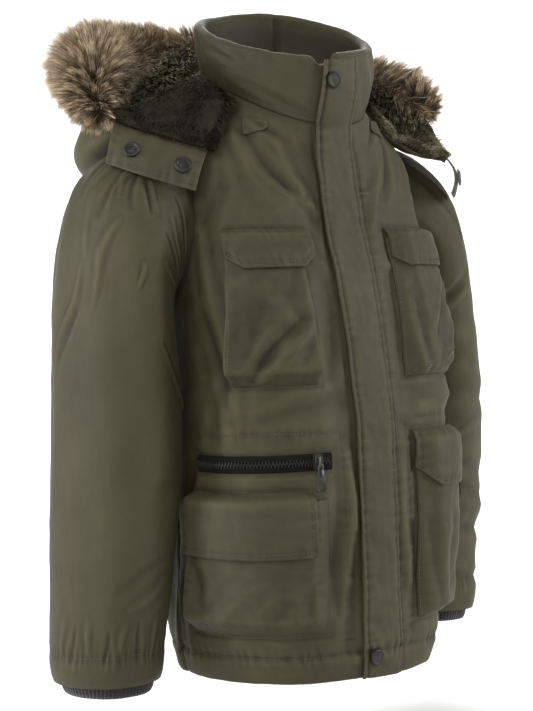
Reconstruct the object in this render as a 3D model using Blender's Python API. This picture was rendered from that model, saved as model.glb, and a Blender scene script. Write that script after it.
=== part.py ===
"""Child's hooded parka with fur trim, filled out as it is worn and open where it is worn.

Sizes are in millimetres and MM turns them into metres. The origin is the centre of the
neck base, +Z is up, the front faces -Y and the wearer's right is -X. A side is -1 for the
wearer's right and +1 for the wearer's left. On the body, a place is given by u, the way
round from the centre front, and h, the height of that level at the front.
"""
import math

import bpy
import numpy as np

MM = 0.001
SEAM_GAP = 0.3      # between two pieces at a seam
LIE = 0.9           # from a panel to the edge of a piece that lies on it
CLOTH = 3.0         # lightly padded shell wall
THIN = 1.8          # unpadded double cloth: flaps, pockets, tabs
SIDES = (-1, 1)
SIDE_NAME = {-1: "right", 1: "left"}

# Body, a row for each level from hem to neck.
BODY_COLUMNS = "level half_width square front_y front_z back_y back_z side_z seam_y press left"
BODY_ROWS = (
    (0.00, 119, 2.3, -116, -530, 104, -530, -530, 24, 0.00, 0.890),
    (0.05, 125, 2.5, -119, -505, 108, -505, -505, 24, 0.02, 0.895),
    (0.20, 130, 3.0, -119, -430, 112, -430, -430, 26, 0.07, 0.905),
    (0.38, 132, 3.4, -117, -333, 114, -333, -333, 28, 0.10, 0.935),
    (0.52, 132, 3.6, -109, -255, 116, -252, -254, 30, 0.11, 0.975),
    (0.64, 130, 3.6, -98, -190, 118, -178, -186, 30, 0.07, 1.000),
    (0.74, 125, 3.3, -84, -140, 117, -122, -118, 30, 0.02, 1.000),
    (0.84, 118, 2.9, -76, -98, 108, -76, -50, 28, 0.00, 1.000),
    (0.92, 94, 2.4, -73, -66, 90, -36, -22, 14, 0.00, 1.000),
    (1.00, 71, 2.1, -72, -38, 68, 6, -2, 2, 0.00, 1.000),
)
PRESS_CENTRE_Y = 40.0       # where the arms press the sides in
PRESS_WIDTH = 55.0
HEIGHT_POWER = 1.2          # how a level turns from its side height to its front height
ARMPIT_LEVEL = 0.64
SHOULDER_LEVEL = 0.84
ARMHOLE_HALF_WIDTH = 52.0
ARMHOLE_STEPS = 12          # points on each half of the armhole

# Largest folds of the body: side (0 is both), from (u, h) to (u, h), width, depth.
BODY_FOLDS = (
    (-1, 34, -66, 118, -112, 15, -2.4),
    (1, 34, -62, 104, -100, 15, -2.2),
    (-1, 182, -196, 162, -250, 13, -3.0),
    (1, 178, -196, 152, -254, 13, -3.0),
    (-1, 140, -282, 60, -302, 18, 2.5),
    (0, 36, -180, 38, -500, 13, -2.2),
    (0, 262, -200, 330, -300, 20, -3.5),
    (-1, 300, -330, 380, -350, 20, -3.0),
    (1, 290, -360, 370, -336, 20, -3.0),
    (0, 250, -400, 250, -500, 18, -2.5),
    (0, 320, -420, 330, -505, 18, -2.2),
)

# Sleeve, a row for each ring after the armhole: its inner and outer edge, and its depth.
SLEEVE_COLUMNS = "place in_x in_z out_x out_z centre_y depth"
SLEEVE_ROWS = (
    (0.00, 127, -188, 131, -46, 30, 55),
    (0.07, 129, -193, 154, -51, 31, 60),
    (0.14, 130, -199, 180, -64, 33, 65),
    (0.21, 129, -207, 201, -88, 35, 69),
    (0.29, 127, -220, 213, -128, 37, 73),
    (0.38, 124, -243, 220, -180, 38, 76),
    (0.50, 122, -285, 225, -250, 38, 77),
    (0.62, 122, -335, 228, -325, 40, 76),
    (0.74, 125, -390, 230, -392, 44, 72),
    (0.86, 131, -450, 231, -455, 48, 66),
    (0.95, 136, -496, 232, -502, 52, 62),
    (1.00, 138, -526, 229, -531, 54, 60),
)
SLEEVE_RINGS = 17
SLEEVE_LIFT = {-1: 0.0, 1: 20.0}    # how much higher each sleeve end is gathered
SLEEVE_WIDER = {-1: 0.0, 1: 10.0}    # how much further out each sleeve stands
# Folds of a sleeve: side, from (angle, place) to (angle, place), width in degrees, depth.
SLEEVE_FOLDS = (
    (-1, 30, 0.04, 48, 0.36, 13, -3.5),
    (-1, 68, 0.06, 84, 0.30, 13, -3.0),
    (1, 30, 0.04, 50, 0.30, 14, -3.0),
    (0, 100, 0.12, 120, 0.55, 14, -4.0),
    (0, 150, 0.22, 100, 0.62, 14, -3.5),
    (0, 60, 0.50, 80, 0.92, 16, -3.0),
    (0, 20, 0.45, 30, 0.85, 16, -2.5),
    (1, 10, 0.88, 110, 0.90, 7, -3.0),
    (0, 300, 0.08, 280, 0.40, 14, -3.5),
    (0, 330, 0.30, 310, 0.75, 16, -3.5),
    (0, 250, 0.35, 230, 0.80, 15, -3.0),
)
CUFF_TOP_PLACE = 0.95
CUFF_REACH = 11.0           # how far the rib shows below the sleeve
CUFF_WALL = 2.2
CUFF_RIBS = 20
CUFF_RIB_HEIGHT = 0.5
CUFF_INSET = 7.0            # how far inside the sleeve its lower end is

# Collar
COLLAR_WALL = 10.0
COLLAR_TOP_RADIUS = (83.0, 80.0)
COLLAR_TOP_Z = 49.0         # height of the rim at the side
COLLAR_TOP_SLOPE = 0.36     # rise of the rim towards the back
COLLAR_TOP_SKEW = 0.07      # rise of the rim towards the wearer's left
COLLAR_BULGE = 4.0
COLLAR_STEPS = 44
COLLAR_HALF_OPENING = 0.4   # the two ends meet at the centre front

# Placket over the front zip, a row for each height: its two edges.
PLACKET_COLUMNS = "h right_edge left_edge"
PLACKET_ROWS = (
    (-531, -24, 23),
    (-420, -24, 22),
    (-300, -22, 22),
    (-190, -23, 22),
    (-100, -25, 21),
    (-38, -21, 19),
    (22, -14, 20),
)
PLACKET_TOP_RISE = 60.0     # how far it runs up the collar
PLACKET_WALL = 2.6

# Pockets. u runs from the inner edge outward, h from the top down. A bag's outer edge
# flares out by `flare` lower down; its side gusset leans in by side_in, its floor by floor_in;
# thin is the share of its depth lost at the outer edge.
CHEST_BAG = {
    -1: dict(u=(56, 121), h=(-140, -268), flare=16.0, depth=(9.0, 19.0), side_in=4.0,
             floor_in=11.0, thin=0.0),
    1: dict(u=(46, 118), h=(-140, -266), flare=12.0, depth=(10.0, 13.0), side_in=3.0,
            floor_in=8.0, thin=0.35),
}
CHEST_FLAP = dict(u=(47, 122), h=(-131, -169), chamfer=13.0)
LOWER_BAG = {
    -1: dict(u=(56, 193), h=(-368, -486), flare=2.0, depth=(12.0, 20.0), side_in=17.0,
             floor_in=15.0, thin=0.0),
    1: dict(u=(50, 188), h=(-325, -484), flare=2.0, depth=(10.0, 16.0), side_in=6.0,
            floor_in=10.0, thin=0.45),
}
LOWER_FLAP = {
    -1: dict(u=(73, 192), h=(-360, -415), chamfer=0.0),
    1: dict(u=(48, 184), h=(-314, -366), chamfer=22.0),
}
BAG_OUTER_IN = 3.0          # how far the outer edge of a bag's face is set in
BAG_SINK = 0.30             # depth of the soft hollow across a bag's face
FLAP_STANDOFF = 2.2         # between a bag's face and the flap over it
FLAP_ROWS = (0.0, 0.1, 0.2, 0.45, 0.75, 1.0)
FLAP_EDGE = 8.0             # closer columns at the ends of a flap with square corners
FLAP_LEAD = 2.0             # a flap is fully off this far above the bag's mouth
ZIP_BAND = {-1: dict(u=(50, 188), h=-335.0), 1: dict(u=(120, 164), h=-376.0)}
ZIP_WIDTH = 15.0
ZIP_WALL = 1.6
SLIDER_SIZE = (9.0, 5.0, 15.0)      # across, out, along the height
PULL_LENGTH = 25.0
PULL_WIDTH = (6.0, 10.0)
PULL_WALL = 1.6
PULL_STANDOFF = 1.7         # from the slider's face to the pull's pivot
PULL_DROP = 2.0             # from the slider's middle down to the pivot
PULL_STUB = 1.0             # how far the pull runs above its pivot

# Hood laid back round the neck, a row for each station from the wearer's right front,
# round the back, to the wearer's left front. Angles are measured from the back. The cloth
# runs from the neck seam through three points to the rim, and the fur lies along the rim.
HOOD_COLUMNS = "place seam_a rim_a r1 z1 r2 z2 r3 z3 rim_r rim_z fur_r fur_z fur_size"
HOOD_ROWS = (
    (0.00, -106, -108, 90, -20, 99, -28, 110, -42, 121, -59, 130, -60, 10),
    (0.06, -100, -101, 91, -4, 104, -8, 120, -28, 133, -53, 150, -50, 12),
    (0.13, -93, -91, 92, 4, 110, 2, 137, -16, 155, -42, 176, -40, 14),
    (0.20, -85, -80, 95, 0, 120, -12, 156, -38, 172, -28, 191, -20, 20),
    (0.30, -64, -64, 106, -16, 158, -62, 202, -58, 154, 10, 186, 18, 33),
    (0.42, -38, -40, 116, -42, 172, -98, 208, -54, 148, 32, 184, 40, 35),
    (0.53, 0, 0, 118, -60, 160, -114, 186, -50, 140, 58, 174, 50, 31),
    (0.63, 36, 40, 116, -44, 166, -86, 188, -44, 146, 36, 178, 34, 28),
    (0.73, 62, 64, 106, -16, 140, -44, 166, -34, 148, 20, 174, 20, 24),
    (0.82, 82, 82, 97, -14, 121, -38, 146, -42, 153, 4, 173, 2, 21),
    (0.89, 93, 92, 95, -22, 118, -44, 142, -52, 164, -26, 176, -16, 15),
    (0.93, 97, 94, 94, -28, 117, -46, 144, -58, 180, -56, 188, -50, 10),
    (1.00, 106, 109, 93, -34, 112, -46, 132, -58, 158, -64, 176, -62, 10),
)
HOOD_SEAM_LEVEL = 0.975     # level of the body where the hood is fastened
HOOD_SHELL_WALL = 2.2
HOOD_PLUSH_WALL = 4.0
HOOD_PLY_GAP = 0.8          # between the hood's shell and its plush
HOOD_PLACES = np.linspace(0.0, 1.0, 27)
HOOD_STEPS = (0.0, 0.15, 0.30, 0.45, 0.58, 0.69, 0.79, 0.87, 0.925, 0.965, 1.0)
HOOD_EASINGS = 4            # rounds of smoothing, each followed by standing clear
HOOD_SETTLINGS = 3          # rounds of standing clear alone
FUR_SPAN = (0.17, 0.90)     # stretch of the hood's rim that carries the fur
FUR_SEAT = 1.3              # from the hood's edge to the fur
FUR_CLEAR = 3.4             # from the rest of the hood to the fur
HOOD_STAND = 1.2            # least distance of the hood's cloth from body and sleeves
FUR_SIDES = 12

# Snap tabs at the hood's two front ends: the stretch of the rim that each is sewn to, its
# free lower edge, and how far it bows out.
HOOD_TABS = {
    -1: dict(places=(0.185, 0.0), bow=3.0,
             low=((-188, 16, -68), (-174, -16, -80), (-150, -34, -90), (-134, -44, -96))),
    1: dict(places=(1.0, 0.93), bow=6.0,
            low=((152, -56, -98), (167, -42, -101), (182, -26, -100), (198, -8, -94))),
}
TAB_SEAM = 0.9              # from the hood's rim to a tab
TAB_SNAPS = (0.22, 0.74)    # how far along the tab each snap is
LEAF_TAB_AT = (93.0, -37.0)  # u and height of its sewn end
LEAF_TAB_LENGTH = 27.0
LEAF_TAB_WIDTH = 15.0

SNAP_RADIUS = 7.6
SNAP_HEIGHT = 2.4
SNAP_STEPS = 12

# Colours: red, green, blue (linear), roughness, metallic.
FINISHES = {
    "shell_cloth": (0.087, 0.081, 0.053, 0.75, 0.0),
    "plush": (0.030, 0.027, 0.020, 0.95, 0.0),
    "fur": (0.22, 0.15, 0.09, 0.9, 0.0),
    "black_rib": (0.008, 0.008, 0.008, 0.9, 0.0),
    "black_zip": (0.010, 0.010, 0.011, 0.5, 0.0),
    "gunmetal": (0.05, 0.05, 0.052, 0.35, 0.9),
}


# Reading tables ----------------------------------------------------------------------

def smooth_rows(rows, where):
    """Each column as a smooth curve through its rows, read at the given places."""
    table = np.array(rows, float)
    knots, values = table[:, 0], table[:, 1:]
    where = np.clip(np.asarray(where, float), knots[0], knots[-1])
    slopes = np.diff(values, axis=0) / np.diff(knots)[:, None]
    inner = np.where(slopes[:-1] * slopes[1:] > 0, 0.5 * (slopes[:-1] + slopes[1:]), 0.0)
    tangents = np.vstack((slopes[:1], inner, slopes[-1:]))
    index = np.clip(np.searchsorted(knots, where, "right") - 1, 0, len(knots) - 2)
    span = (knots[index + 1] - knots[index])[..., None]
    s = (where - knots[index])[..., None] / span
    start, end = values[index], values[index + 1]
    return (start * (1 + 2 * s) * (1 - s) ** 2 + end * s * s * (3 - 2 * s)
            + span * tangents[index] * s * (1 - s) ** 2
            + span * tangents[index + 1] * s * s * (s - 1))


def unit(vectors):
    return vectors / np.maximum(np.linalg.norm(vectors, axis=-1, keepdims=True), 1e-9)


def ridge(u, h, fold_rows, side):
    """Sum of the folds at (u, h): each is a soft trough or ridge along a short line."""
    total = np.zeros(np.broadcast(u, h).shape)
    for fold_side, u0, h0, u1, h1, width, depth in fold_rows:
        if fold_side not in (0, side):
            continue
        run_u, run_h = u1 - u0, h1 - h0
        along = ((u - u0) * run_u + (h - h0) * run_h) / (run_u ** 2 + run_h ** 2)
        along = np.clip(along, 0.0, 1.0)
        off = np.hypot(u - u0 - along * run_u, h - h0 - along * run_h)
        total = total + depth * np.exp(-(off / width) ** 2)
    return total


# Body surface ------------------------------------------------------------------------

class Body:
    """The body's outer surface, sampled closely once and then read by (part of way, level)."""

    LEVELS = 141
    ROUND = 201

    def __init__(self):
        self.level = np.linspace(0.0, 1.0, self.LEVELS)
        half_w, square, front_y, front_z, back_y, back_z, side_z, seam_y, press, left = (
            column[:, None] for column in smooth_rows(BODY_ROWS, self.level).T)
        turn = np.linspace(0.0, math.pi, 721)[None, :]
        sine, cosine = np.abs(np.sin(turn)), np.cos(turn)
        centre_y = 0.5 * (front_y + back_y)
        half_depth = 0.5 * (back_y - front_y)
        y = centre_y - half_depth * np.sign(cosine) * np.abs(cosine) ** (2 / square)
        x = half_w * sine ** (2 / square)
        x = x * (1 - press * np.exp(-((y - PRESS_CENTRE_Y) / PRESS_WIDTH) ** 2))
        end_z = np.where(cosine > 0, front_z, back_z)
        z = side_z + (end_z - side_z) * np.abs(cosine) ** HEIGHT_POWER
        dense = np.stack((x, y, z), axis=-1)
        steps = np.linalg.norm(np.diff(dense, axis=1), axis=-1)
        way = np.concatenate((np.zeros((self.LEVELS, 1)), np.cumsum(steps, axis=1)), axis=1)
        self.length = way[:, -1]
        self.front_z = front_z[:, 0]
        self.left = left[:, 0]
        part = np.linspace(0.0, 1.0, self.ROUND)
        self.grid = np.zeros((self.LEVELS, self.ROUND, 3))
        self.seam = np.zeros(self.LEVELS)
        for i in range(self.LEVELS):
            for axis in range(3):
                self.grid[i, :, axis] = np.interp(part * way[i, -1], way[i], dense[i, :, axis])
            self.seam[i] = np.interp(seam_y[i, 0], self.grid[i, :, 1], part)
        across = np.gradient(self.grid, axis=1)
        across[:, 0] *= (1, 0, 0)
        across[:, -1] *= (1, 0, 0)
        self.normal = unit(np.cross(across, np.gradient(self.grid, axis=0)))

    def read(self, field, part, level):
        """Bilinear reading of a sampled field."""
        i = np.clip(level, 0, 1) * (self.LEVELS - 1)
        j = np.clip(part, 0, 1) * (self.ROUND - 1)
        i0 = np.minimum(i.astype(int), self.LEVELS - 2)
        j0 = np.minimum(j.astype(int), self.ROUND - 2)
        a, b = (i - i0)[..., None], (j - j0)[..., None]
        return ((1 - a) * (1 - b) * field[i0, j0] + a * (1 - b) * field[i0 + 1, j0]
                + (1 - a) * b * field[i0, j0 + 1] + a * b * field[i0 + 1, j0 + 1])

    def point(self, side, part, level, out=0.0):
        """Points on the body, moved out along its normal, and the normals there."""
        part, level = np.broadcast_arrays(np.asarray(part, float), np.asarray(level, float))
        base = self.read(self.grid, part, level)
        normal = unit(self.read(self.normal, part, level))
        u = part * np.interp(level, self.level, self.length)
        h = np.interp(level, self.level, self.front_z)
        lift = ridge(u, h, BODY_FOLDS, side) * np.clip((1 - level) / 0.06, 0, 1)
        width = side * (np.interp(level, self.level, self.left) if side > 0 else 1 + 0 * level)
        stretch = np.stack((width, 1 + 0 * level, 1 + 0 * level), axis=-1)
        normal = unit(normal / stretch)
        return base * stretch + normal * (np.asarray(out) + lift)[..., None], normal

    def place(self, side, u, h, out=0.0):
        """Points given by the way round u and their own height."""
        u, h = np.broadcast_arrays(np.asarray(u, float), np.asarray(h, float))
        label = h
        for _ in range(6):
            level = np.interp(label, self.front_z, self.level)
            part = u / np.interp(level, self.level, self.length)
            label = label + 0.8 * (h - self.read(self.grid, part, level)[..., 2])
        return self.point(side, part, level, out)

    def seam_part(self, level):
        return np.interp(level, self.level, self.seam)

    def armhole_part(self, level, toward_back):
        """Where a panel ends beside the armhole: +1 on the back's edge, -1 on the front's."""
        middle = 0.5 * (ARMPIT_LEVEL + SHOULDER_LEVEL)
        half = 0.5 * (SHOULDER_LEVEL - ARMPIT_LEVEL)
        inside = np.clip(1 - ((level - middle) / half) ** 2, 0, 1)
        width = ARMHOLE_HALF_WIDTH / np.interp(level, self.level, self.length)
        return self.seam_part(level) + toward_back * width * np.sqrt(inside)


BODY = Body()


def panel_levels():
    """Rows of a panel: even on the body, bunched at both ends of the armhole."""
    middle = 0.5 * (ARMPIT_LEVEL + SHOULDER_LEVEL)
    half = 0.5 * (SHOULDER_LEVEL - ARMPIT_LEVEL)
    turn = np.arange(ARMHOLE_STEPS + 1) * math.pi / ARMHOLE_STEPS
    return np.concatenate((np.linspace(0, ARMPIT_LEVEL, 9)[:-1], middle - half * np.cos(turn),
                           np.linspace(SHOULDER_LEVEL, 1, 5)[1:]))


# Building solids ---------------------------------------------------------------------

def finish_material(finish):
    material = bpy.data.materials.get(finish)
    if material is None:
        red, green, blue, roughness, metallic = FINISHES[finish]
        material = bpy.data.materials.new(finish)
        material.use_nodes = True
        shader = material.node_tree.nodes["Principled BSDF"]
        shader.inputs["Base Color"].default_value = (red, green, blue, 1.0)
        shader.inputs["Roughness"].default_value = roughness
        shader.inputs["Metallic"].default_value = metallic
    return material


def add_solid(name, points, faces, finish, parent=None):
    """One closed solid as an object. Faces are turned so that they point out."""
    points = np.asarray(points, float) * MM
    volume = 0.0
    for face in faces:
        for k in range(1, len(face) - 1):
            a, b, c = points[face[0]], points[face[k]], points[face[k + 1]]
            volume += float(np.dot(a, np.cross(b, c)))
    if volume < 0:
        faces = [tuple(reversed(face)) for face in faces]
    mesh = bpy.data.meshes.new(name)
    mesh.from_pydata([tuple(p) for p in points], [], faces)
    mesh.shade_smooth()
    mesh.set_sharp_from_angle(angle=math.radians(40))
    mesh.materials.append(finish_material(finish))
    solid = bpy.data.objects.new(name, mesh)
    bpy.context.scene.collection.objects.link(solid)
    if parent is not None:
        solid.parent = parent
        solid.matrix_parent_inverse = parent.matrix_world.inverted()
    return solid


def wall(name, outer, inner, finish, closed=False, parent=None):
    """A wall between two grids [rows, columns, 3]; closed joins the last column to the first."""
    rows, columns = outer.shape[:2]
    points = np.concatenate((outer.reshape(-1, 3), inner.reshape(-1, 3)))
    under = rows * columns
    faces = []
    spans = columns if closed else columns - 1
    for i in range(rows - 1):
        for j in range(spans):
            a, b = i * columns + j, i * columns + (j + 1) % columns
            c, d = b + columns, a + columns
            faces += [(a, b, c), (a, c, d)]
            faces += [(under + c, under + b, under + a), (under + d, under + c, under + a)]
    rims = [(i * columns + j, i * columns + (j + 1) % columns, flip)
            for i, flip in ((0, False), (rows - 1, True)) for j in range(spans)]
    if not closed:
        rims += [(i * columns + j, (i + 1) * columns + j, flip)
                 for j, flip in ((0, True), (columns - 1, False)) for i in range(rows - 1)]
    for a, b, flip in rims:
        quad = (b, a, under + a, under + b)
        faces.append(tuple(reversed(quad)) if flip else quad)
    return add_solid(name, points, faces, finish, parent)


def ring_loft(name, rings, finish, parent=None, closed=False):
    """A solid through rings [rings, points, 3], capped at both ends or joined in a loop."""
    count, size = rings.shape[:2]
    faces = []
    for i in range(count if closed else count - 1):
        for j in range(size):
            a, b = i * size + j, i * size + (j + 1) % size
            c, d = ((i + 1) % count) * size + (j + 1) % size, ((i + 1) % count) * size + j
            faces += [(a, b, c), (a, c, d)]
    if not closed:
        faces.append(tuple(range(size - 1, -1, -1)))
        faces.append(tuple(range((count - 1) * size, count * size)))
    return add_solid(name, rings.reshape(-1, 3), faces, finish, parent)


def frame_at(normal, up=(0.0, 0.0, 1.0)):
    """Unit vectors across and along a surface with the given normal."""
    along = unit(np.asarray(up) - normal * np.dot(up, normal))
    return np.cross(along, normal), along


# Panels ------------------------------------------------------------------------------

def panel_wall(name, side_parts, levels):
    """A body panel from (side, part) columns; the cloth lies inside the body's surface."""
    outer, inner = [], []
    for side, part in side_parts:
        top, normal = BODY.point(side, part, levels)
        outer.append(top)
        inner.append(top - CLOTH * normal)
    wall(name, np.stack(outer, axis=1), np.stack(inner, axis=1), "shell_cloth")


def edge_parts(levels, toward_back):
    """Outer edge of a front (-1) or of the back (+1), drawn in by half a seam gap."""
    inside = (levels > ARMPIT_LEVEL) & (levels < SHOULDER_LEVEL)
    edge = np.where(inside, BODY.armhole_part(levels, toward_back), BODY.seam_part(levels))
    return edge + toward_back * 0.5 * SEAM_GAP / np.interp(levels, BODY.level, BODY.length)


def fronts():
    levels = panel_levels()
    start = COLLAR_HALF_OPENING / np.interp(levels, BODY.level, BODY.length)
    for side in SIDES:
        edge = edge_parts(levels, -1)
        columns = [(side, start + (edge - start) * t) for t in np.linspace(0, 1, 15)]
        panel_wall("front_" + SIDE_NAME[side], columns, levels)


def back():
    levels = panel_levels()
    edge = edge_parts(levels, 1)
    steps = np.linspace(0, 1, 11)
    columns = [(-1, edge + (1 - edge) * t) for t in steps]
    columns += [(1, edge + (1 - edge) * t) for t in steps[-2::-1]]
    panel_wall("back", columns, levels)


# Sleeves -----------------------------------------------------------------------------

def sleeve_ring(side, place, angle, out=0.0):
    """Points of the sleeve at a place along it; angle 0 is the outer side, 90 the front."""
    columns = np.moveaxis(smooth_rows(SLEEVE_ROWS, place), -1, 0)
    in_x, in_z, out_x, out_z, centre_y, depth = columns
    turn = np.radians(angle)
    out_x = out_x + SLEEVE_WIDER[side] * np.clip(place / 0.5, 0, 1)
    reach_x, reach_z = 0.5 * (out_x - in_x), 0.5 * (out_z - in_z)
    lift = ridge(angle, place * 100, [(s, a0, p0 * 100, a1, p1 * 100, w, d)
                                      for s, a0, p0, a1, p1, w, d in SLEEVE_FOLDS], side)
    half = np.hypot(reach_x, reach_z)
    grow = 1 + (out + lift) / half
    grow_y = 1 + (out + lift) / depth
    x = 0.5 * (in_x + out_x) + reach_x * np.cos(turn) * grow
    z = 0.5 * (in_z + out_z) + reach_z * np.cos(turn) * grow
    y = centre_y - depth * np.sin(turn) * grow_y
    z = z + SLEEVE_LIFT[side] * np.clip((place - 0.55) / 0.45, 0, 1)
    return np.stack((side * x, y, z), axis=-1)


def armhole_ring(side):
    """The sleeve's first ring, one seam gap inside the armhole, outside and inside."""
    turn = np.arange(2 * ARMHOLE_STEPS) * math.pi / ARMHOLE_STEPS
    middle = 0.5 * (ARMPIT_LEVEL + SHOULDER_LEVEL)
    half = 0.5 * (SHOULDER_LEVEL - ARMPIT_LEVEL)
    level = middle + half * np.cos(turn)
    width = ARMHOLE_HALF_WIDTH / np.interp(level, BODY.level, BODY.length)
    part = BODY.seam_part(level) - width * np.sin(turn)
    top, normal = BODY.point(side, part, level)
    toward = top.mean(axis=0) - top
    toward = unit(toward - normal * np.sum(toward * normal, axis=-1, keepdims=True))
    outer = top + toward * 2 * SEAM_GAP
    return outer, outer - CLOTH * normal


def sleeves():
    angle = np.arange(2 * ARMHOLE_STEPS) * 180.0 / ARMHOLE_STEPS
    for side in SIDES:
        first_outer, first_inner = armhole_ring(side)
        outer, inner = [first_outer], [first_inner]
        for place in np.linspace(0, 1, SLEEVE_RINGS):
            spot = np.full(angle.shape, place)
            outer.append(sleeve_ring(side, spot, angle))
            inner.append(sleeve_ring(side, spot, angle, -CLOTH))
        wall("sleeve_" + SIDE_NAME[side], np.array(outer), np.array(inner), "shell_cloth",
             closed=True)


def cuffs():
    columns = 2 * CUFF_RIBS
    angle = np.arange(columns) * 360.0 / columns
    rib = CUFF_RIB_HEIGHT * (np.arange(columns) % 2)
    for side in SIDES:
        end = sleeve_ring(side, np.ones(columns), angle)
        top = sleeve_ring(side, np.full(columns, CUFF_TOP_PLACE), angle, -CLOTH - 1.2)
        low = sleeve_ring(side, np.ones(columns), angle, -CLOTH - CUFF_INSET)
        low = low - np.array((0, 0, CUFF_REACH))
        centre = end.mean(axis=0)
        outer, inner = [], []
        for t in (0.0, 0.5, 1.0):
            ring = top * (1 - t) + low * t
            away = unit((ring - centre) * (1, 1, 0))
            outer.append(ring + away * rib[:, None] * min(1, 2 * t))
            inner.append(ring - away * CUFF_WALL)
        wall("cuff_" + SIDE_NAME[side], np.array(outer), np.array(inner), "black_rib",
             closed=True)


# Collar and placket ------------------------------------------------------------------

def neck_ring(count):
    """Neck edge from the centre front round the wearer's right, the back and the left."""
    length = BODY.length[-1]
    start = COLLAR_HALF_OPENING / length
    way = np.linspace(start, 2 - start, count)
    parts = np.where(way <= 1, way, 2 - way)
    points = []
    for w, part in zip(way, parts):
        side = -1 if w <= 1 else 1
        points.append(BODY.point(side, part, 1.0)[0])
    return np.array(points)


def collar_surface(base, rise, out=0.0):
    """Outer face of the collar above neck points, rise from 0 at the seam to 1 at the rim."""
    turn = np.arctan2(base[..., 0], -base[..., 1])
    top_x = COLLAR_TOP_RADIUS[0] * np.sin(turn)
    top_y = -COLLAR_TOP_RADIUS[1] * np.cos(turn)
    wave = 1.6 * np.sin(7 * turn + 0.6) + 1.2 * np.sin(12 * turn)
    top_z = COLLAR_TOP_Z + COLLAR_TOP_SLOPE * top_y + COLLAR_TOP_SKEW * top_x + wave
    top = np.stack((top_x, top_y, top_z), axis=-1)
    lifted = base + np.array((0, 0, SEAM_GAP + 0.2))
    place = lifted * (1 - rise) + top * rise
    away = unit(place * (1, 1, 0))
    swell = COLLAR_BULGE * math.sin(math.pi * min(rise, 1.0)) + out
    return place + away * swell


def collar():
    base = neck_ring(COLLAR_STEPS)
    section = []
    for rise in (0.0, 0.22, 0.45, 0.7, 0.92):
        section.append(collar_surface(base, rise))
    half_wall = 0.5 * COLLAR_WALL
    rim = collar_surface(base, 1.0)
    away = unit(rim * (1, 1, 0))
    for angle in (20, 90, 160):
        turn = math.radians(angle)
        section.append(rim + away * half_wall * (math.cos(turn) - 1)
                       + np.array((0, 0, half_wall * math.sin(turn))))
    for rise in (0.9, 0.55, 0.2, 0.0):
        section.append(collar_surface(base, rise, -COLLAR_WALL))
    ring_loft("collar", np.stack(section, axis=1), "shell_cloth")


def front_strip_point(u, h, out):
    """A point over the centre front: on the body below the neck, on the collar above it."""
    side = -1 if u < 0 else 1
    neck_h = BODY.front_z[-1]
    if h <= neck_h:
        return BODY.place(side, abs(u), h, out)[0]
    part = abs(u) / BODY.length[-1]
    base = BODY.point(side, part, 1.0)[0]
    rise = (h - neck_h) / PLACKET_TOP_RISE
    return collar_surface(base, min(rise, 1.0), out + SEAM_GAP)


def placket():
    neck_h = BODY.front_z[-1]
    heights = list(np.linspace(PLACKET_ROWS[0][0], neck_h - 12, 20))
    heights += list(neck_h + PLACKET_TOP_RISE * np.array((0.08, 0.35, 0.6, 0.82, 0.99)))
    outer, inner = [], []
    for h in heights:
        right, left = smooth_rows(PLACKET_ROWS, h)
        row_out, row_in = [], []
        for t in (0.0, 0.2, 0.5, 0.8, 1.0):
            u = right + (left - right) * t
            roll = 1.0 if t == 0.0 else 0.0
            row_in.append(front_strip_point(u, h, LIE + roll))
            row_out.append(front_strip_point(u, h, LIE + roll + PLACKET_WALL))
        outer.append(row_out)
        inner.append(row_in)
    wall("placket", np.array(outer), np.array(inner), "shell_cloth")


# Pockets -----------------------------------------------------------------------------

def bag_edges(bag, down):
    """Inner and outer edge of a bag at a share of the way down it."""
    return bag["u"][0] + 0.0 * down, bag["u"][1] + bag["flare"] * down ** 0.6


def pocket_depth(bag, u, h):
    """How far a bag's face stands off: deeper below, with a soft diagonal hollow."""
    (h_top, h_floor), (depth_top, depth_bottom) = bag["h"], bag["depth"]
    down = np.clip((h_top - h) / (h_top - h_floor), 0, 1)
    inner, outer = bag_edges(bag, down)
    across = np.clip((u - inner) / (outer - inner), 0, 1)
    depth = depth_top + (depth_bottom - depth_top) * down ** 0.8
    hollow = np.exp(-(((across - 0.75) + 0.6 * (down - 0.6)) / 0.16) ** 2) * down
    return depth * (1 - BAG_SINK * hollow) * (1 - bag["thin"] * across ** 2)


def pocket_bag(name, side, bag):
    """Open-backed bag: a face, two side walls and a floor, its mouth open at the top."""
    h_top, h_floor = bag["h"]
    share = np.linspace(0, 1, 8)[None, :]
    grids = []
    for inset in (0.0, THIN):
        hs = np.append(np.linspace(h_top, h_floor + bag["floor_in"] + inset, 8),
                       h_floor + inset)[:, None]
        inner, outer = bag_edges(bag, (h_top - hs) / (h_top - h_floor))
        inner, outer = inner + inset, outer - inset
        face_in, face_out = inner + bag["side_in"], outer - BAG_OUTER_IN
        u = np.hstack((inner, face_in + (face_out - face_in) * share, outer))
        h = hs + 0 * u
        out = pocket_depth(bag, u, h) - inset
        out[:, 0] = out[:, -1] = LIE
        out[-1, :] = LIE
        grids.append(BODY.place(side, u, h, out)[0])
    wall(name, grids[0], grids[1], "shell_cloth")


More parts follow.
